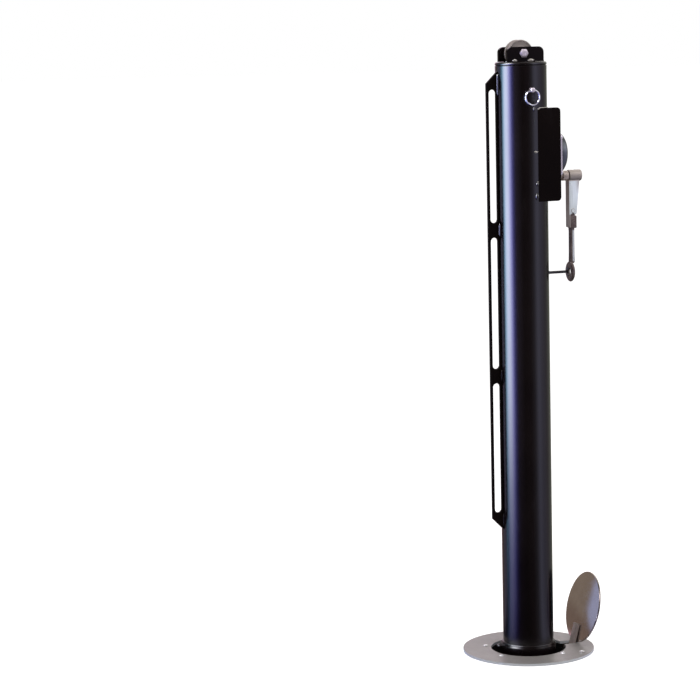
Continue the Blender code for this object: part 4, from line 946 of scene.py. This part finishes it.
def make_axle():
    """The bolt, its nut and spacers, and the sheave."""
    reach = EAR_OUTSIDE + SEAT
    head = hex_head("bolt_hex", -reach - BOLT_HEAD, -reach - 0.0006, ("low",))
    washer = drum("bolt_washer_face", HEX_ACROSS / 2 - SEAT, -reach - 0.0007, -reach, "Y", AXLE, 0.0001)
    thread = [(0.0, reach + BOLT_END), (AXLE_RADIUS - 0.0010, reach + BOLT_END)]
    for turn in range(THREAD_TURNS):
        height = reach + BOLT_END - THREAD_DEPTH - turn * THREAD_PITCH
        thread += [(AXLE_RADIUS, height), (AXLE_RADIUS - THREAD_DEPTH, height - THREAD_PITCH / 2)]
    thread += [(AXLE_RADIUS, reach - 0.001), (AXLE_RADIUS, 0.0002 - reach), (0.0, 0.0002 - reach)]
    shank = lathe("bolt_shank", thread, "Y", AXLE, SMALL_STEPS)
    dress(join("axle_bolt_turned", [head, washer, shank]), BOLT, "axle_bolt", "post", 30.0)

    nut = hex_head("nut_hex", reach, reach + NUT_HEIGHT, ("low", "high"))
    nut = combine(nut, drum("nut_bore", AXLE_RADIUS + SEAT, 0.0, 0.06, "Y", AXLE, 0.0))
    nut.name = "axle_nut_hex"
    dress(nut, ZINC, "axle_nut", "post", 30.0)

    for number, side in ((1, -1), (2, 1)):
        low, high = sorted((side * SPACER[0], side * SPACER[1]))
        item = sleeve(f"axle_spacer_ring_{number}", AXLE_RADIUS + SEAT, SPACER_RADIUS, low, high, "Y", AXLE,
                      0.0004, SMALL_STEPS)
        dress(item, ZINC, f"axle_spacer_{number}", "post")

    half = SHEAVE_HALF
    groove_half = half - SHEAVE_LIP
    groove = []
    for index in range(1, 24):
        across, along = polar(1.0, 180.0 * index / 24)
        groove.append((SHEAVE_RADIUS - SHEAVE_GROOVE * along, groove_half * across))
    rim = soften([(SHEAVE_BORE, half), (0.0125, half), (0.0132, half - 0.0007),
                  (SHEAVE_RADIUS - 0.0030, half - 0.0007), (SHEAVE_RADIUS - 0.0024, half),
                  (SHEAVE_RADIUS, half), (SHEAVE_RADIUS, groove_half)], 0.0009)
    other = [(radius, -height) for radius, height in reversed(rim)]
    item = lathe("sheave_wheel", rim[:-1] + groove + other[1:], "Y", AXLE, ring=True)
    dress(item, WHEEL, "sheave", "sheave", 50.0)


def make_lock_pin():
    """The pull pin and its ring."""
    pin = LOCK_PIN_RADIUS
    profile = [
        (0.0, LOCK_PIN_IN), (pin - 0.0014, LOCK_PIN_IN), (pin, LOCK_PIN_IN - 0.0014),
        (pin, LOCK_PIN_OUT + 0.0016), (pin - 0.0008, LOCK_PIN_OUT + 0.0004),
        (pin - 0.0018, LOCK_PIN_OUT), (0.0, LOCK_PIN_OUT),
    ]
    item = lathe("pull_pin", soften(profile, 0.0006), "Y", (0, 0, LOCK_HEIGHT), SMALL_STEPS)
    hole = drum("ring_hole", RING_WIRE + 0.0009, -0.01, 0.01, "X", RING_PIVOT, 0.0, SCREW_STEPS)
    item = round_edges(combine(item, hole), 0.00025, 2)
    dress(item, BOLT, "lock_pin", "lock_pin")
    path = [RING_PIVOT + RING_RADIUS * Vector((y, 0.0, x - 1.0)) for x, y in round_about(96)]
    item = swept("pull_ring", path, RING_WIRE, closed=True)
    dress(item, BRIGHT, "lock_ring", "lock_ring")


# The winch

def brake_holes():
    """Return the holes that the face plate and the flange share."""
    holes = [circle((0, REEL_HEIGHT), SHAFT_HOLE)]
    for y, z in HOUSING_SCREWS:
        holes.append(circle((y, FLANGE_MIDDLE + z), HOUSING_SCREW_HOLE, SCREW_STEPS))
    return holes


def tube_side(offset, side):
    """Return where a weld lies on one side of the tube, at an offset from its middle."""
    return side * (math.sqrt(POST_RADIUS ** 2 - offset ** 2) + WELD_LIFT)


def make_box():
    """The welded box that carries the winch."""
    corner = CHEEK_CORNER
    outline = arc((BOX_X[1] - corner, BOX_Z[1] - corner), corner, 0.0, 90.0, 16)
    outline += [(BOX_X[0], BOX_Z[1]), (BOX_X[0], BOX_Z[0])]
    outline += arc((BOX_X[1] - corner, BOX_Z[0] + corner), corner, 270.0, 360.0, 16)
    for name, side in (("bracket_cheek_front", -1), ("bracket_cheek_back", 1)):
        middle = side * (CHEEK_OUTSIDE - CHEEK_THICKNESS / 2)
        item = slab(name + "_plate", [outline], CHEEK_THICKNESS, "Y", (0, middle, 0))
        low, high = BOX_Z
        saddle = drum("saddle", POST_RADIUS + SEAT, low - 0.01, high + 0.01, edge=0.0, steps=TURN_STEPS)
        dress(round_edges(combine(item, saddle), 0.0008, 3, 50.0), BOX_BLACK, name)

    middle_z = sum(BOX_Z) / 2
    holes = brake_holes()
    holes.insert(1, circle((0, CRANK_HEIGHT), BUSH_HOLE))
    outline = rounded_box(-FACE_HALF_WIDTH, middle_z - FACE_HALF_HEIGHT, FACE_HALF_WIDTH,
                          middle_z + FACE_HALF_HEIGHT, corner / 3)
    item = slab("face_plate", [outline] + holes, FACE_X[1] - FACE_X[0], "X", (sum(FACE_X) / 2, 0, 0))
    dress(round_edges(item, 0.0007), BOX_BLACK, "bracket_face_plate")

    beads = []
    for side in (-1, 1):
        for x, low, high, width in BOX_STITCHES:
            y = tube_side(x, side)
            ends = ((x, y, low), (x, y, high))
            beads.append(bead("stitch", ends, (-0.35, side, 0.0), width, *STITCH_BEAD))
        x = BOX_X[1] - 0.0001
        y = side * (FACE_HALF_WIDTH + 0.0002)
        for low, high in BOX_SEAMS:
            ends = ((x, y, low), (x, y, high))
            beads.append(bead("seam", ends, (1.0, 0.0, 0.0), *BOX_BEAD))
    dress(join("box_weld", beads), BEAD_BLACK)

    # These touches, the top seams and the corner seams carry a painted highlight
    worn = []
    for side in (-1, 1):
        for first, last, height, width in BOX_TOUCHES:
            places = [first + (last - first) * step / 6 for step in range(7)]
            path = [(x, tube_side(x, side), height) for x in places]
            worn.append(bead("touch", path, (-0.2, side, 0.5), width, *TOUCH_BEAD))
        path = [(x, y, BOX_Z[1] - 0.0003)
                for x, y in arc((0.0, 0.0), POST_RADIUS + WELD_LIFT, side * 71.5, side * 26.5, 12)]
        worn.append(bead("top_seam", path, (0.5, side, 1.0), *TOP_BEAD))
        y = side * (CHEEK_OUTSIDE + 0.0002)
        ends = ((BOX_X[0] + 0.0004, y, BOX_Z[1] - 0.0022), (BOX_X[0] + 0.0054, y, BOX_Z[1] - 0.0006))
        worn.append(bead("corner_seam", ends, (0.0, side, 0.6), *CORNER_BEAD))
    dress(join("box_worn_weld", worn), PAINTED_WELD_HIGHLIGHT)


def crossed_screw(radius, rise, shank, length, recess):
    """Make a round-headed screw with a cross recess. Its head stands on height 0."""
    profile = [(0.0, rise), (radius * 0.45, rise * 0.96), (radius * 0.78, rise * 0.72),
               (radius * 0.97, rise * 0.34), (radius, SEAT), (shank, SEAT), (shank, -length),
               (0.0, -length)]
    item = lathe("screw_source", soften(profile, 0.0003), steps=SCREW_STEPS)
    long = radius * 0.55
    thin = radius * 0.13
    for x, y in ((long, thin), (thin, long)):
        item = combine(item, block("recess", (-x, -y, rise - recess), (x, y, rise + 0.001)))
    return item


def set_screws(name, source, places, body):
    """Put a copy of a screw in each place, each turned a little differently."""
    for number, place in enumerate(places, start=1):
        item = link(f"{name}_turned_{number}", source.data.copy())
        item.data.transform(place @ Matrix.Rotation(random.uniform(0.0, QUARTER), 4, "Z"))
        dress(item, SCREW, f"{name}_{number}", body)
    bpy.data.objects.remove(source, do_unlink=True)


def make_brake():
    """The flange, the round brake housing and its screws."""
    low = FLANGE_MIDDLE - FLANGE_HALF_HEIGHT
    high = FLANGE_MIDDLE + FLANGE_HALF_HEIGHT
    outline = rounded_box(-FLANGE_HALF_WIDTH, low, FLANGE_HALF_WIDTH, high, FLANGE_CORNER)
    # A bay in the lower edge leaves room for the crank's bush
    bay = BUSH_LIP_RADIUS + SEAT
    meet = math.degrees(math.asin((low - CRANK_HEIGHT) / bay))
    last = 3 * (ARC_STEPS + 1)
    outline[last:last] = arc((0, CRANK_HEIGHT), bay, 180.0 - meet, meet, 24)
    item = slab("flange_plate", [outline] + brake_holes(), FLANGE_X[1] - FLANGE_X[0], "X",
                (sum(FLANGE_X) / 2, 0, 0))
    dress(round_edges(item, 0.0006), BOLT, "winch_flange", "post")

    start, end = HOUSING_X
    outer = HOUSING_RADIUS
    inside = end - HOUSING_WALL
    profile = [
        (0.0, end - 0.0006), (0.0085, end - 0.0006), (0.0095, end), (outer - 0.0055, end),
        (outer - 0.0012, end - 0.0030), (outer, end - 0.0070), (outer, start),
        (outer - HOUSING_WALL, start), (outer - HOUSING_WALL, inside), (0.0, inside),
    ]
    item = lathe("brake_housing_shell", soften(profile, 0.0022, 6), "X", (0, 0, REEL_HEIGHT))
    dress(item, HOUSING, "brake_housing", "post")
    places = [frame_of("X", (FLANGE_X[1], y, FLANGE_MIDDLE + z)) for y, z in HOUSING_SCREWS]
    set_screws("housing_screw", crossed_screw(*HOUSING_SCREW), places, "post")


# The crank

def make_shaft():
    """The crank's bush and shaft."""
    middle = (0, 0, CRANK_HEIGHT)
    start = BOX_X[1] + SEAT
    end = FACE_X[0] - 0.0023
    profile = [(BUSH_LIP_RADIUS, start + BUSH_LIP), (BUSH_LIP_RADIUS, start), (BUSH_RADIUS, start),
               (BUSH_RADIUS, end), (CRANK_BORE, end), (CRANK_BORE, start + BUSH_LIP)]
    item = lathe("crank_bush_turned", soften(profile, 0.0004, closed=True), "X", middle, SMALL_STEPS, True)
    dress(item, BRONZE, "crank_bush", "post")
    low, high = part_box("crank_shaft")
    inner = HOUSING_X[1] + 0.0010
    outer = ARM_X - SEAT
    profile = [(0.0, high.x), (CRANK_RADIUS, high.x), (CRANK_RADIUS, outer), (CRANK_COLLAR, outer),
               (CRANK_COLLAR, inner), (CRANK_RADIUS, inner), (CRANK_RADIUS, low.x), (0.0, low.x)]
    item = lathe("crank_shaft_turned", soften(profile, 0.0006), "X", middle)
    dress(item, STRAP, "crank_shaft", "crank")


def make_arm():
    """The hub with the channel arm, its set screw and the fold pin."""
    middle = (0, 0, CRANK_HEIGHT)
    end = HUB_X[1]
    inside = end - ARM_WALL + SEAT
    profile = [(0.0, end), (HUB_RADIUS, end), (HUB_RADIUS, HUB_X[0]), (CRANK_BORE, HUB_X[0]),
               (CRANK_BORE, inside), (0.0, inside)]
    hub = lathe("arm_hub", soften(profile, 0.0014, 5), "X", middle)
    top = CRANK_HEIGHT - HUB_RADIUS * 0.75
    web = ARM_X + ARM_WEB
    foot = ARM_X + ARM_FOOT_WIDTH
    hollow_end = foot - ARM_CHAMFER
    outline = [(ARM_X, top), (ARM_X, ARM_TAIL_END), (web, ARM_TAIL_END), (web, ARM_FLANGE_END)]
    for step in range(1, 12):
        lift = ARM_HOLLOW * math.sin(math.pi * step / 12)
        outline.append((web + (hollow_end - web) * step / 12, ARM_FLANGE_END + lift))
    outline += [(hollow_end, ARM_FLANGE_END), (foot, ARM_FLANGE_END + ARM_CHAMFER),
                (ARM_X + ARM_TOP_WIDTH, top)]
    arm = slab("arm_channel", [outline], ARM_DEPTH, "Y")
    half = ARM_DEPTH / 2 - ARM_WALL
    arm = combine(arm, block("channel", (web, -half, ARM_TAIL_END - 0.02),
                             (web + 0.03, half, CRANK_HEIGHT - HUB_RADIUS - SEAT)))
    arm = combine(arm, drum("bore_path", CRANK_BORE, 0.05, inside, "X", middle, 0.0))
    item = combine(hub, arm, "UNION")
    item = combine(item, drum("pin_hole", SMALL_HOLE, -0.02, 0.02, "Y", FOLD, 0.0))
    screw = (sum(HUB_X) / 2, 0, CRANK_HEIGHT)
    item = combine(item, drum("screw_hole", SMALL_HOLE, 0.0, 0.02, "Z", screw, 0.0))
    item = round_edges(item, 0.0005, 3, 45.0)
    item.name = "crank_arm_forged"
    dress(item, ARM, "crank_arm", "crank", 48.0)

    item = drum("set_screw_turned", SET_SCREW_RADIUS, *SET_SCREW, "Z", screw, 0.0003, SCREW_STEPS)
    profile = [(0.0, 0.0093), (0.0014, 0.0093), (0.0014, 0.0070), (0.0, 0.0070)]
    item = combine(item, lathe("socket", profile, "Z", screw, 6))
    dress(item, ZINC, "crank_set_screw", "crank")

    low = ARM_DEPTH / 2 + SEAT
    high = low + FOLD_HEAD_RISE
    rim = FOLD_HEAD_RADIUS - 0.0008
    profile = [(0.0, high), (rim, high), (FOLD_HEAD_RADIUS, low), (FOLD_PIN_RADIUS, low),
               (FOLD_PIN_RADIUS, -low), (FOLD_HEAD_RADIUS, -low), (rim, -high), (0.0, -high)]
    item = lathe("fold_pin_turned", soften(profile, 0.0003), "Y", FOLD, SCREW_STEPS)
    dress(item, ARM, "fold_pin", "crank")


def make_handle():
    """The folding handle: a tongue and a shoulder, a rod and a round eye."""
    half = TONGUE_HALF_WIDTH
    outline = arc((FOLD.x, FOLD.z), half, 0.0, 180.0, 24)
    outline += [(FOLD.x - half, TONGUE_END), (FOLD.x + half, TONGUE_END)]
    hole = circle((FOLD.x, FOLD.z), SMALL_HOLE, SCREW_STEPS)
    tongue = slab("tongue", [outline, hole], ARM_DEPTH - 2 * ARM_WALL - 2 * SEAT, "Y")
    tongue = round_edges(tongue, 0.0006)
    end = EYE.z + EYE_HALF_HEIGHT - EYE_WIRE
    profile = [
        (0.0, ARM_TAIL_END + 0.0003), (0.0048, ARM_TAIL_END + 0.0003), (0.0053, TONGUE_END - 0.0006),
        (0.0054, TONGUE_END - 0.0030), (0.0050, TONGUE_END - 0.0042), (ROD_RADIUS + 0.0002, end + 0.016),
        (ROD_RADIUS + 0.0006, end + 0.004), (0.0044, end), (0.0, end - 0.001),
    ]
    rod = lathe("rod", soften(profile, 0.0016, 5), "Z", (FOLD.x, 0, 0), SMALL_STEPS)
    section = [(EYE_HALF_WIDTH - EYE_MEAT + EYE_MEAT * x, EYE_WIRE * y) for x, y in round_about(20)]
    ring = lathe("eye_ring", section, "X", EYE, 96, ring=True)
    tall = Matrix.Diagonal((1.0, 1.0, EYE_HALF_HEIGHT / EYE_HALF_WIDTH, 1.0))
    ring.data.transform(Matrix.Translation(EYE) @ tall @ Matrix.Translation(-EYE))
    side = ARM_X + ARM_FOOT_WIDTH
    back = FOLD.x - half
    outline = [(back, SHOULDER_TOP), (back, TONGUE_END), (side, TONGUE_END), (side, SHOULDER_TOP)]
    shoulder = round_edges(slab("shoulder", [outline], ARM_DEPTH, "Y"), 0.0012, 4)
    handle = rod
    for part in (ring, tongue, shoulder):
        handle = combine(handle, part, "UNION")
    handle.name = "handle_forged"
    dress(handle, HANDLE, "handle_rod", "handle", 50.0)


def make_stud():
    """The stud on the tube that the handle's eye hangs by."""
    start = POST_RADIUS + SEAT
    profile = [(0.0, STUD_END), (STUD_RADIUS * 0.6, STUD_END), (STUD_RADIUS, STUD_END - 0.0010),
               (STUD_RADIUS, start + 0.0050), (STUD_RADIUS * 1.4, start + 0.0022), (STUD_FLARE, start),
               (0.0, start)]
    item = lathe("stud_turned", soften(profile, 0.0008), "X", (0, 0, EYE.z), SMALL_STEPS)
    dress(item, BLACK, "handle_stud")
    ring = [(tube_side(STUD_WELD * y, 1), STUD_WELD * y, EYE.z + STUD_WELD * z) for y, z in round_about(36)]
    ways = [(1.0, 0.6 * y, 0.6 * z) for y, z in round_about(36)]
    dress(bead("stud_weld", ring, ways, *STUD_BEAD, closed=True), BEAD_BLACK)


# The ground socket

def make_plate():
    """The floor plate and its screws."""
    notch_angle = math.degrees(math.asin(NOTCH_HALF / CUP_RADIUS))
    mouth = arc((0, 0), CUP_RADIUS, notch_angle, 360.0 - notch_angle, TURN_STEPS)
    mouth += [(NOTCH_END, -NOTCH_HALF), (NOTCH_END, NOTCH_HALF)]
    outlines = [circle((0, 0), PLATE_RADIUS, 2 * TURN_STEPS), mouth]
    screws = (
        ("flange_screw", FLANGE_SCREW, FLANGE_SCREW_CIRCLE, FLANGE_SCREW_ANGLES),
        ("anchor_screw", ANCHOR_SCREW, ANCHOR_SCREW_CIRCLE, ANCHOR_SCREW_ANGLES),
    )
    for _, _, reach, angles in screws:
        outlines += [circle(polar(reach, angle), PLATE_HOLE, SCREW_STEPS) for angle in angles]
    item = slab("plate_disc", outlines, PLATE_THICKNESS, "Z", (0, 0, PLATE_THICKNESS / 2))
    dress(round_edges(item, 0.0021, 6), PLATE, "floor_plate", "ground")
    for name, sizes, reach, angles in screws:
        places = [Matrix.Translation((*polar(reach, angle), PLATE_THICKNESS)) for angle in angles]
        set_screws(name, crossed_screw(*sizes), places, "ground")


def make_cup():
    """The cup, the sleeve in the ground and its drain cap."""
    under = -CUP_DEPTH - CUP_WALL
    profile = [
        (CUP_FLANGE, -SEAT), (CUP_FLANGE, -SEAT - CUP_WALL), (CUP_OUTSIDE, -SEAT - CUP_WALL),
        (CUP_OUTSIDE, under), (SLEEVE_OUTER + SEAT, under), (SLEEVE_OUTER + SEAT, -CUP_DEPTH),
        (CUP_RADIUS, -CUP_DEPTH), (CUP_RADIUS, -SEAT),
    ]
    cup = lathe("cup_shell", soften(profile, 0.0007, closed=True), ring=True)
    cup = combine(cup, block("gap", *BRACKET_GAP))
    cup = combine(cup, block("strap_path", *STRAP_PATH))
    dress(cup, PIT, "floor_cup", "ground")
    top = COLLAR_BOTTOM - SEAT
    item = sleeve("ground_tube", SLEEVE_INNER, SLEEVE_OUTER, SLEEVE_BOTTOM, top, edge=TUBE_EDGE)
    dress(item, PIT, "ground_sleeve", "ground")
    low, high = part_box("sleeve_drain_cap")
    item = sleeve("drain_cap_ring", SLEEVE_DRAIN, SLEEVE_OUTER, low.z, high.z, edge=TUBE_EDGE)
    dress(item, IRON, "sleeve_drain_cap", "ground")


def make_lid():
    """The lid with its strap and rivets, made shut round the hinge and then swung open."""
    swing = Matrix.Translation(HINGE) @ Matrix.Rotation(LID_OPEN, 4, "Y")
    under = -HINGE.z
    profile = [(0.0, LID_THICKNESS), (LID_RADIUS, LID_THICKNESS), (LID_RADIUS, LID_DOME)]
    for step in range(1, 17):
        share = 1.0 - step / 16
        profile.append(((LID_RADIUS - LID_EDGE) * share, LID_DOME * share ** 2))
    lid = lathe("lid_disc", soften(profile, LID_EDGE, 5), "Z", (-HINGE.x, 0, under), 2 * TURN_STEPS)
    top = under - SEAT
    bottom = top - STRAP_THICKNESS
    meet = math.degrees(math.asin(bottom / STRAP_BARREL))
    outline = [(0.0, top), (-STRAP_LENGTH, top), (-STRAP_LENGTH, bottom)]
    outline += arc((0, 0), STRAP_BARREL, 180.0 - meet, 360.0, 40)
    outline.append((STRAP_BARREL, 0.0015))
    hole = circle((0, 0), HINGE_PIN_RADIUS + SEAT, SCREW_STEPS)
    strap = slab("strap_plate", [outline, hole], STRAP_WIDTH, "Y")
    for x in STRAP_RIVETS:
        blind, through = [drum("rivet_hole", RIVET_HOLE, low, high, "Z", (x, 0, 0), 0.0, SCREW_STEPS)
                          for low, high in ((under - 0.001, under + LID_THICKNESS - 0.0015),
                                            (bottom - 0.001, top + 0.001))]
        lid = combine(lid, blind)
        strap = combine(strap, through)
    strap = round_edges(strap, 0.0005)
    for item, material, node in ((lid, LID, "lid_plate"), (strap, STRAP, "lid_strap")):
        item.data.transform(swing)
        dress(item, material, node, "lid")

    profile = [(0.0, 0.0014), (0.0022, 0.0012), (0.0038, 0.0008), (0.0045, SEAT), (0.0026, SEAT),
               (0.0026, -0.0063), (0.0, -0.0063)]
    for number, x in enumerate(STRAP_RIVETS, start=1):
        item = lathe(f"rivet_turned_{number}", soften(profile, 0.0005), steps=SCREW_STEPS)
        item.data.transform(swing @ Matrix.Translation((x, 0, bottom)) @ Matrix.Rotation(math.pi, 4, "X"))
        dress(item, STRAP, f"strap_rivet_{number}", "lid")


def dress_inner():
    """Give the solids that stay their materials."""
    looks = {
        "head_spigot": IRON, "post_end_plug": IRON, "reel_drum": IRON, "brake_disc": IRON,
        "hinge_bracket": IRON, "hinge_pin": ZINC, "reel_gear": BRIGHT, "drive_pinion": BRIGHT,
        "reel_shaft": BRIGHT, "reel_inner_bearing": BRONZE, "sheave_bush": BRONZE, "brake_lining": LINING,
    }
    for name, material in looks.items():
        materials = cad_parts[name].data.materials
        materials.clear()
        materials.append(material)


# Stage

def studio(graph, direction):
    """Return what polished surfaces find in a direction, and how high, left and near it is."""
    parts = graph.split(direction)
    facing = graph.plus(graph.times(parts["X"], VIEW_SIDE.x), graph.times(parts["Y"], VIEW_SIDE.y))
    leftwards = graph.plus(graph.times(parts["X"], VIEW_SIDE.y), graph.times(parts["Y"], -VIEW_SIDE.x))
    angle = graph.math("ARCTAN2", leftwards, facing)
    ramp = graph.add("ValToRGB", {"Fac": graph.span(angle, -math.pi, math.pi)})
    elements = ramp.color_ramp.elements
    for number, (degrees, colour) in enumerate(STUDIO):
        place = degrees / 360.0 + 0.5
        stop = elements[number] if number < 2 else elements.new(place)
        stop.position = place
        stop.color = (*dimmed(colour, 1.0 / STUDIO_PEAK), 1.0)
    return ramp.outputs["Color"], parts["Z"], leftwards, facing


def floor_material():
    """A white floor that stays white to the camera and keeps a soft shadow.

    What it mirrors fades near the post, but not on its right, and less behind it.
    """
    graph = Graph(bpy.data.materials.new("floor_white"))
    nodes = graph.tree.nodes
    nodes.remove(nodes["Principled BSDF"])
    path = graph.add("LightPath").outputs
    shine = graph.most(path["Is Glossy Ray"], path["Is Transmission Ray"])
    paint = graph.add("BsdfDiffuse", {"Color": graph.blend(graph.noise(6.0, 2.0), dimmed(WHITE, 0.78),
                                                           dimmed(WHITE, 0.82))})
    seen = graph.add("Emission", {"Strength": graph.times(path["Is Camera Ray"], FLOOR_GLOW)})
    place = graph.place()
    colour, _, leftwards, facing = studio(graph, place)
    distance = graph.add("VectorMath", {0: place}, operation="LENGTH").outputs["Value"]
    reach = graph.math("POWER", distance, FLOOR_FADE_POWER)
    far = graph.math("DIVIDE", reach, graph.plus(reach, FLOOR_FADE ** FLOOR_FADE_POWER))
    behind = graph.span(facing, -0.03, -0.15)
    rightwards = graph.span(leftwards, -0.02, -0.10)
    level = graph.blend(far, graph.blend(behind, FLOOR_NEAR_TINT, FLOOR_BACK_TINT), WHITE)
    level = graph.blend(graph.times(rightwards, 0.7), level, WHITE)
    near = graph.math("DIVIDE", distance, graph.plus(distance, FLOOR_NEAR))
    near = graph.most(near, graph.most(rightwards, behind))
    strength = graph.times(graph.times(shine, near), STUDIO_PEAK)
    mirrored = graph.add("Emission", {"Color": graph.tinted(colour, level), "Strength": strength})
    lit = graph.add("AddShader", {0: paint.outputs[0], 1: seen.outputs[0]})
    both = graph.add("MixShader", {"Fac": shine, 1: lit.outputs[0], 2: mirrored.outputs[0]})
    graph.put(both.outputs[0], nodes["Material Output"].inputs["Surface"])
    return graph.owner


def make_stage():
    """The floor with a hole for the socket, and a near-black pit below it as painted shade for the ground
    round the socket.
    """
    floor = lathe("floor", [(radius, -SEAT) for radius in FLOOR_RINGS])
    floor.data.materials.append(floor_material())
    # Painted shade: a near-black pit where the ground round the socket lies in shade
    pit = lathe("pit", [(PIT_RADIUS, -SEAT), (PIT_RADIUS, -PIT_DEPTH), (0.0, -PIT_DEPTH)])
    pit.data.materials.append(PIT)


def make_world():
    """White to the camera, a studio with one big window to polished surfaces, plain light to the rest."""
    world = bpy.data.worlds.new("studio")
    bpy.context.scene.world = world
    graph = Graph(world)
    graph.tree.nodes.clear()
    path = graph.add("LightPath").outputs
    shine = graph.most(path["Is Glossy Ray"], path["Is Transmission Ray"])
    colour, height, leftwards, _ = studio(graph, graph.add("TexCoord").outputs["Generated"])
    # The window is dimmer just above the horizon; the rest is brighter and paler the higher it is
    low = graph.times(graph.span(height, 0.03, 0.15), graph.span(height, 0.60, 0.50))
    window = graph.times(graph.span(leftwards, 0.35, 0.70), low)
    rise = graph.span(height, 0.02, 0.35, 1.0, 2.2)
    scale = graph.times(rise, graph.span(window, 0.0, 1.0, 1.0, WINDOW_DIM))
    higher = graph.add("VectorMath", {0: colour, "Scale": scale}, operation="SCALE").outputs["Vector"]
    values = {"Color": higher, "Saturation": graph.span(height, 0.26, 0.42, 1.0, 0.22)}
    paler = graph.add("HueSaturation", values).outputs["Color"]
    sides = graph.blend(graph.span(height, 0.62, 0.90), paler, dimmed(STUDIO_TOP, 1.0 / STUDIO_PEAK))
    dome = graph.blend(graph.span(height, -0.2, 0.9), (0.34, 0.33, 0.33), (0.52, 0.52, 0.52))
    seen = graph.add("Background", {"Color": dome}).outputs[0]
    for share, colour, strength in ((shine, sides, STUDIO_PEAK), (path["Is Camera Ray"], WHITE, 1.0)):
        layer = graph.add("Background", {"Color": colour, "Strength": strength}).outputs[0]
        seen = graph.add("MixShader", {"Fac": share, 1: seen, 2: layer}).outputs[0]
    graph.add("OutputWorld", {"Surface": seen})


def make_light():
    """A soft square lamp from above and in front, which neither the camera nor a mirror sees."""
    data = bpy.data.lights.new("top_soft", "AREA")
    data.shape = "RECTANGLE"
    data.size = LAMP_SIZE
    data.size_y = LAMP_SIZE
    data.energy = LAMP_POWER
    data.color = LAMP_TINT
    lamp = link("top_soft", data)
    lamp.location = LAMP_PLACE
    lamp.rotation_mode = "QUATERNION"
    lamp.rotation_quaternion = (LAMP_AIM - lamp.location).to_track_quat("-Z", "Y")
    lamp.visible_camera = False
    lamp.visible_glossy = False


def make_camera():
    """Place the camera where the photograph was taken from."""
    data = bpy.data.cameras.new("camera")
    data.sensor_width = 36.0
    data.lens = CAMERA_FOCAL * data.sensor_width
    camera = link("camera", data)
    place = Vector((CAMERA_DISTANCE * math.sin(CAMERA_AZIMUTH), -CAMERA_DISTANCE * math.cos(CAMERA_AZIMUTH),
                    CAMERA_HEIGHT))
    heading = math.atan2(-place.x, -place.y) + CAMERA_YAW
    level = math.cos(CAMERA_PITCH)
    ahead = Vector((math.sin(heading) * level, math.cos(heading) * level, math.sin(CAMERA_PITCH)))
    right = ahead.cross(Vector((0, 0, 1))).normalized()
    up = right.cross(ahead)
    turned_right = right * math.cos(CAMERA_ROLL) + up * math.sin(CAMERA_ROLL)
    turned_up = up * math.cos(CAMERA_ROLL) - right * math.sin(CAMERA_ROLL)
    axes = Matrix((turned_right, turned_up, -ahead)).transposed()
    camera.matrix_world = Matrix.Translation(place) @ axes.to_4x4()
    bpy.context.scene.camera = camera


make_tube()
make_lacing_bar()
make_cap_and_ears()
make_axle()
make_lock_pin()
make_box()
make_brake()
make_shaft()
make_arm()
make_handle()
make_stud()
make_plate()
make_cup()
make_lid()
dress_inner()
make_stage()
make_world()
make_light()
make_camera()

bpy.context.scene.view_settings.view_transform = "Standard"
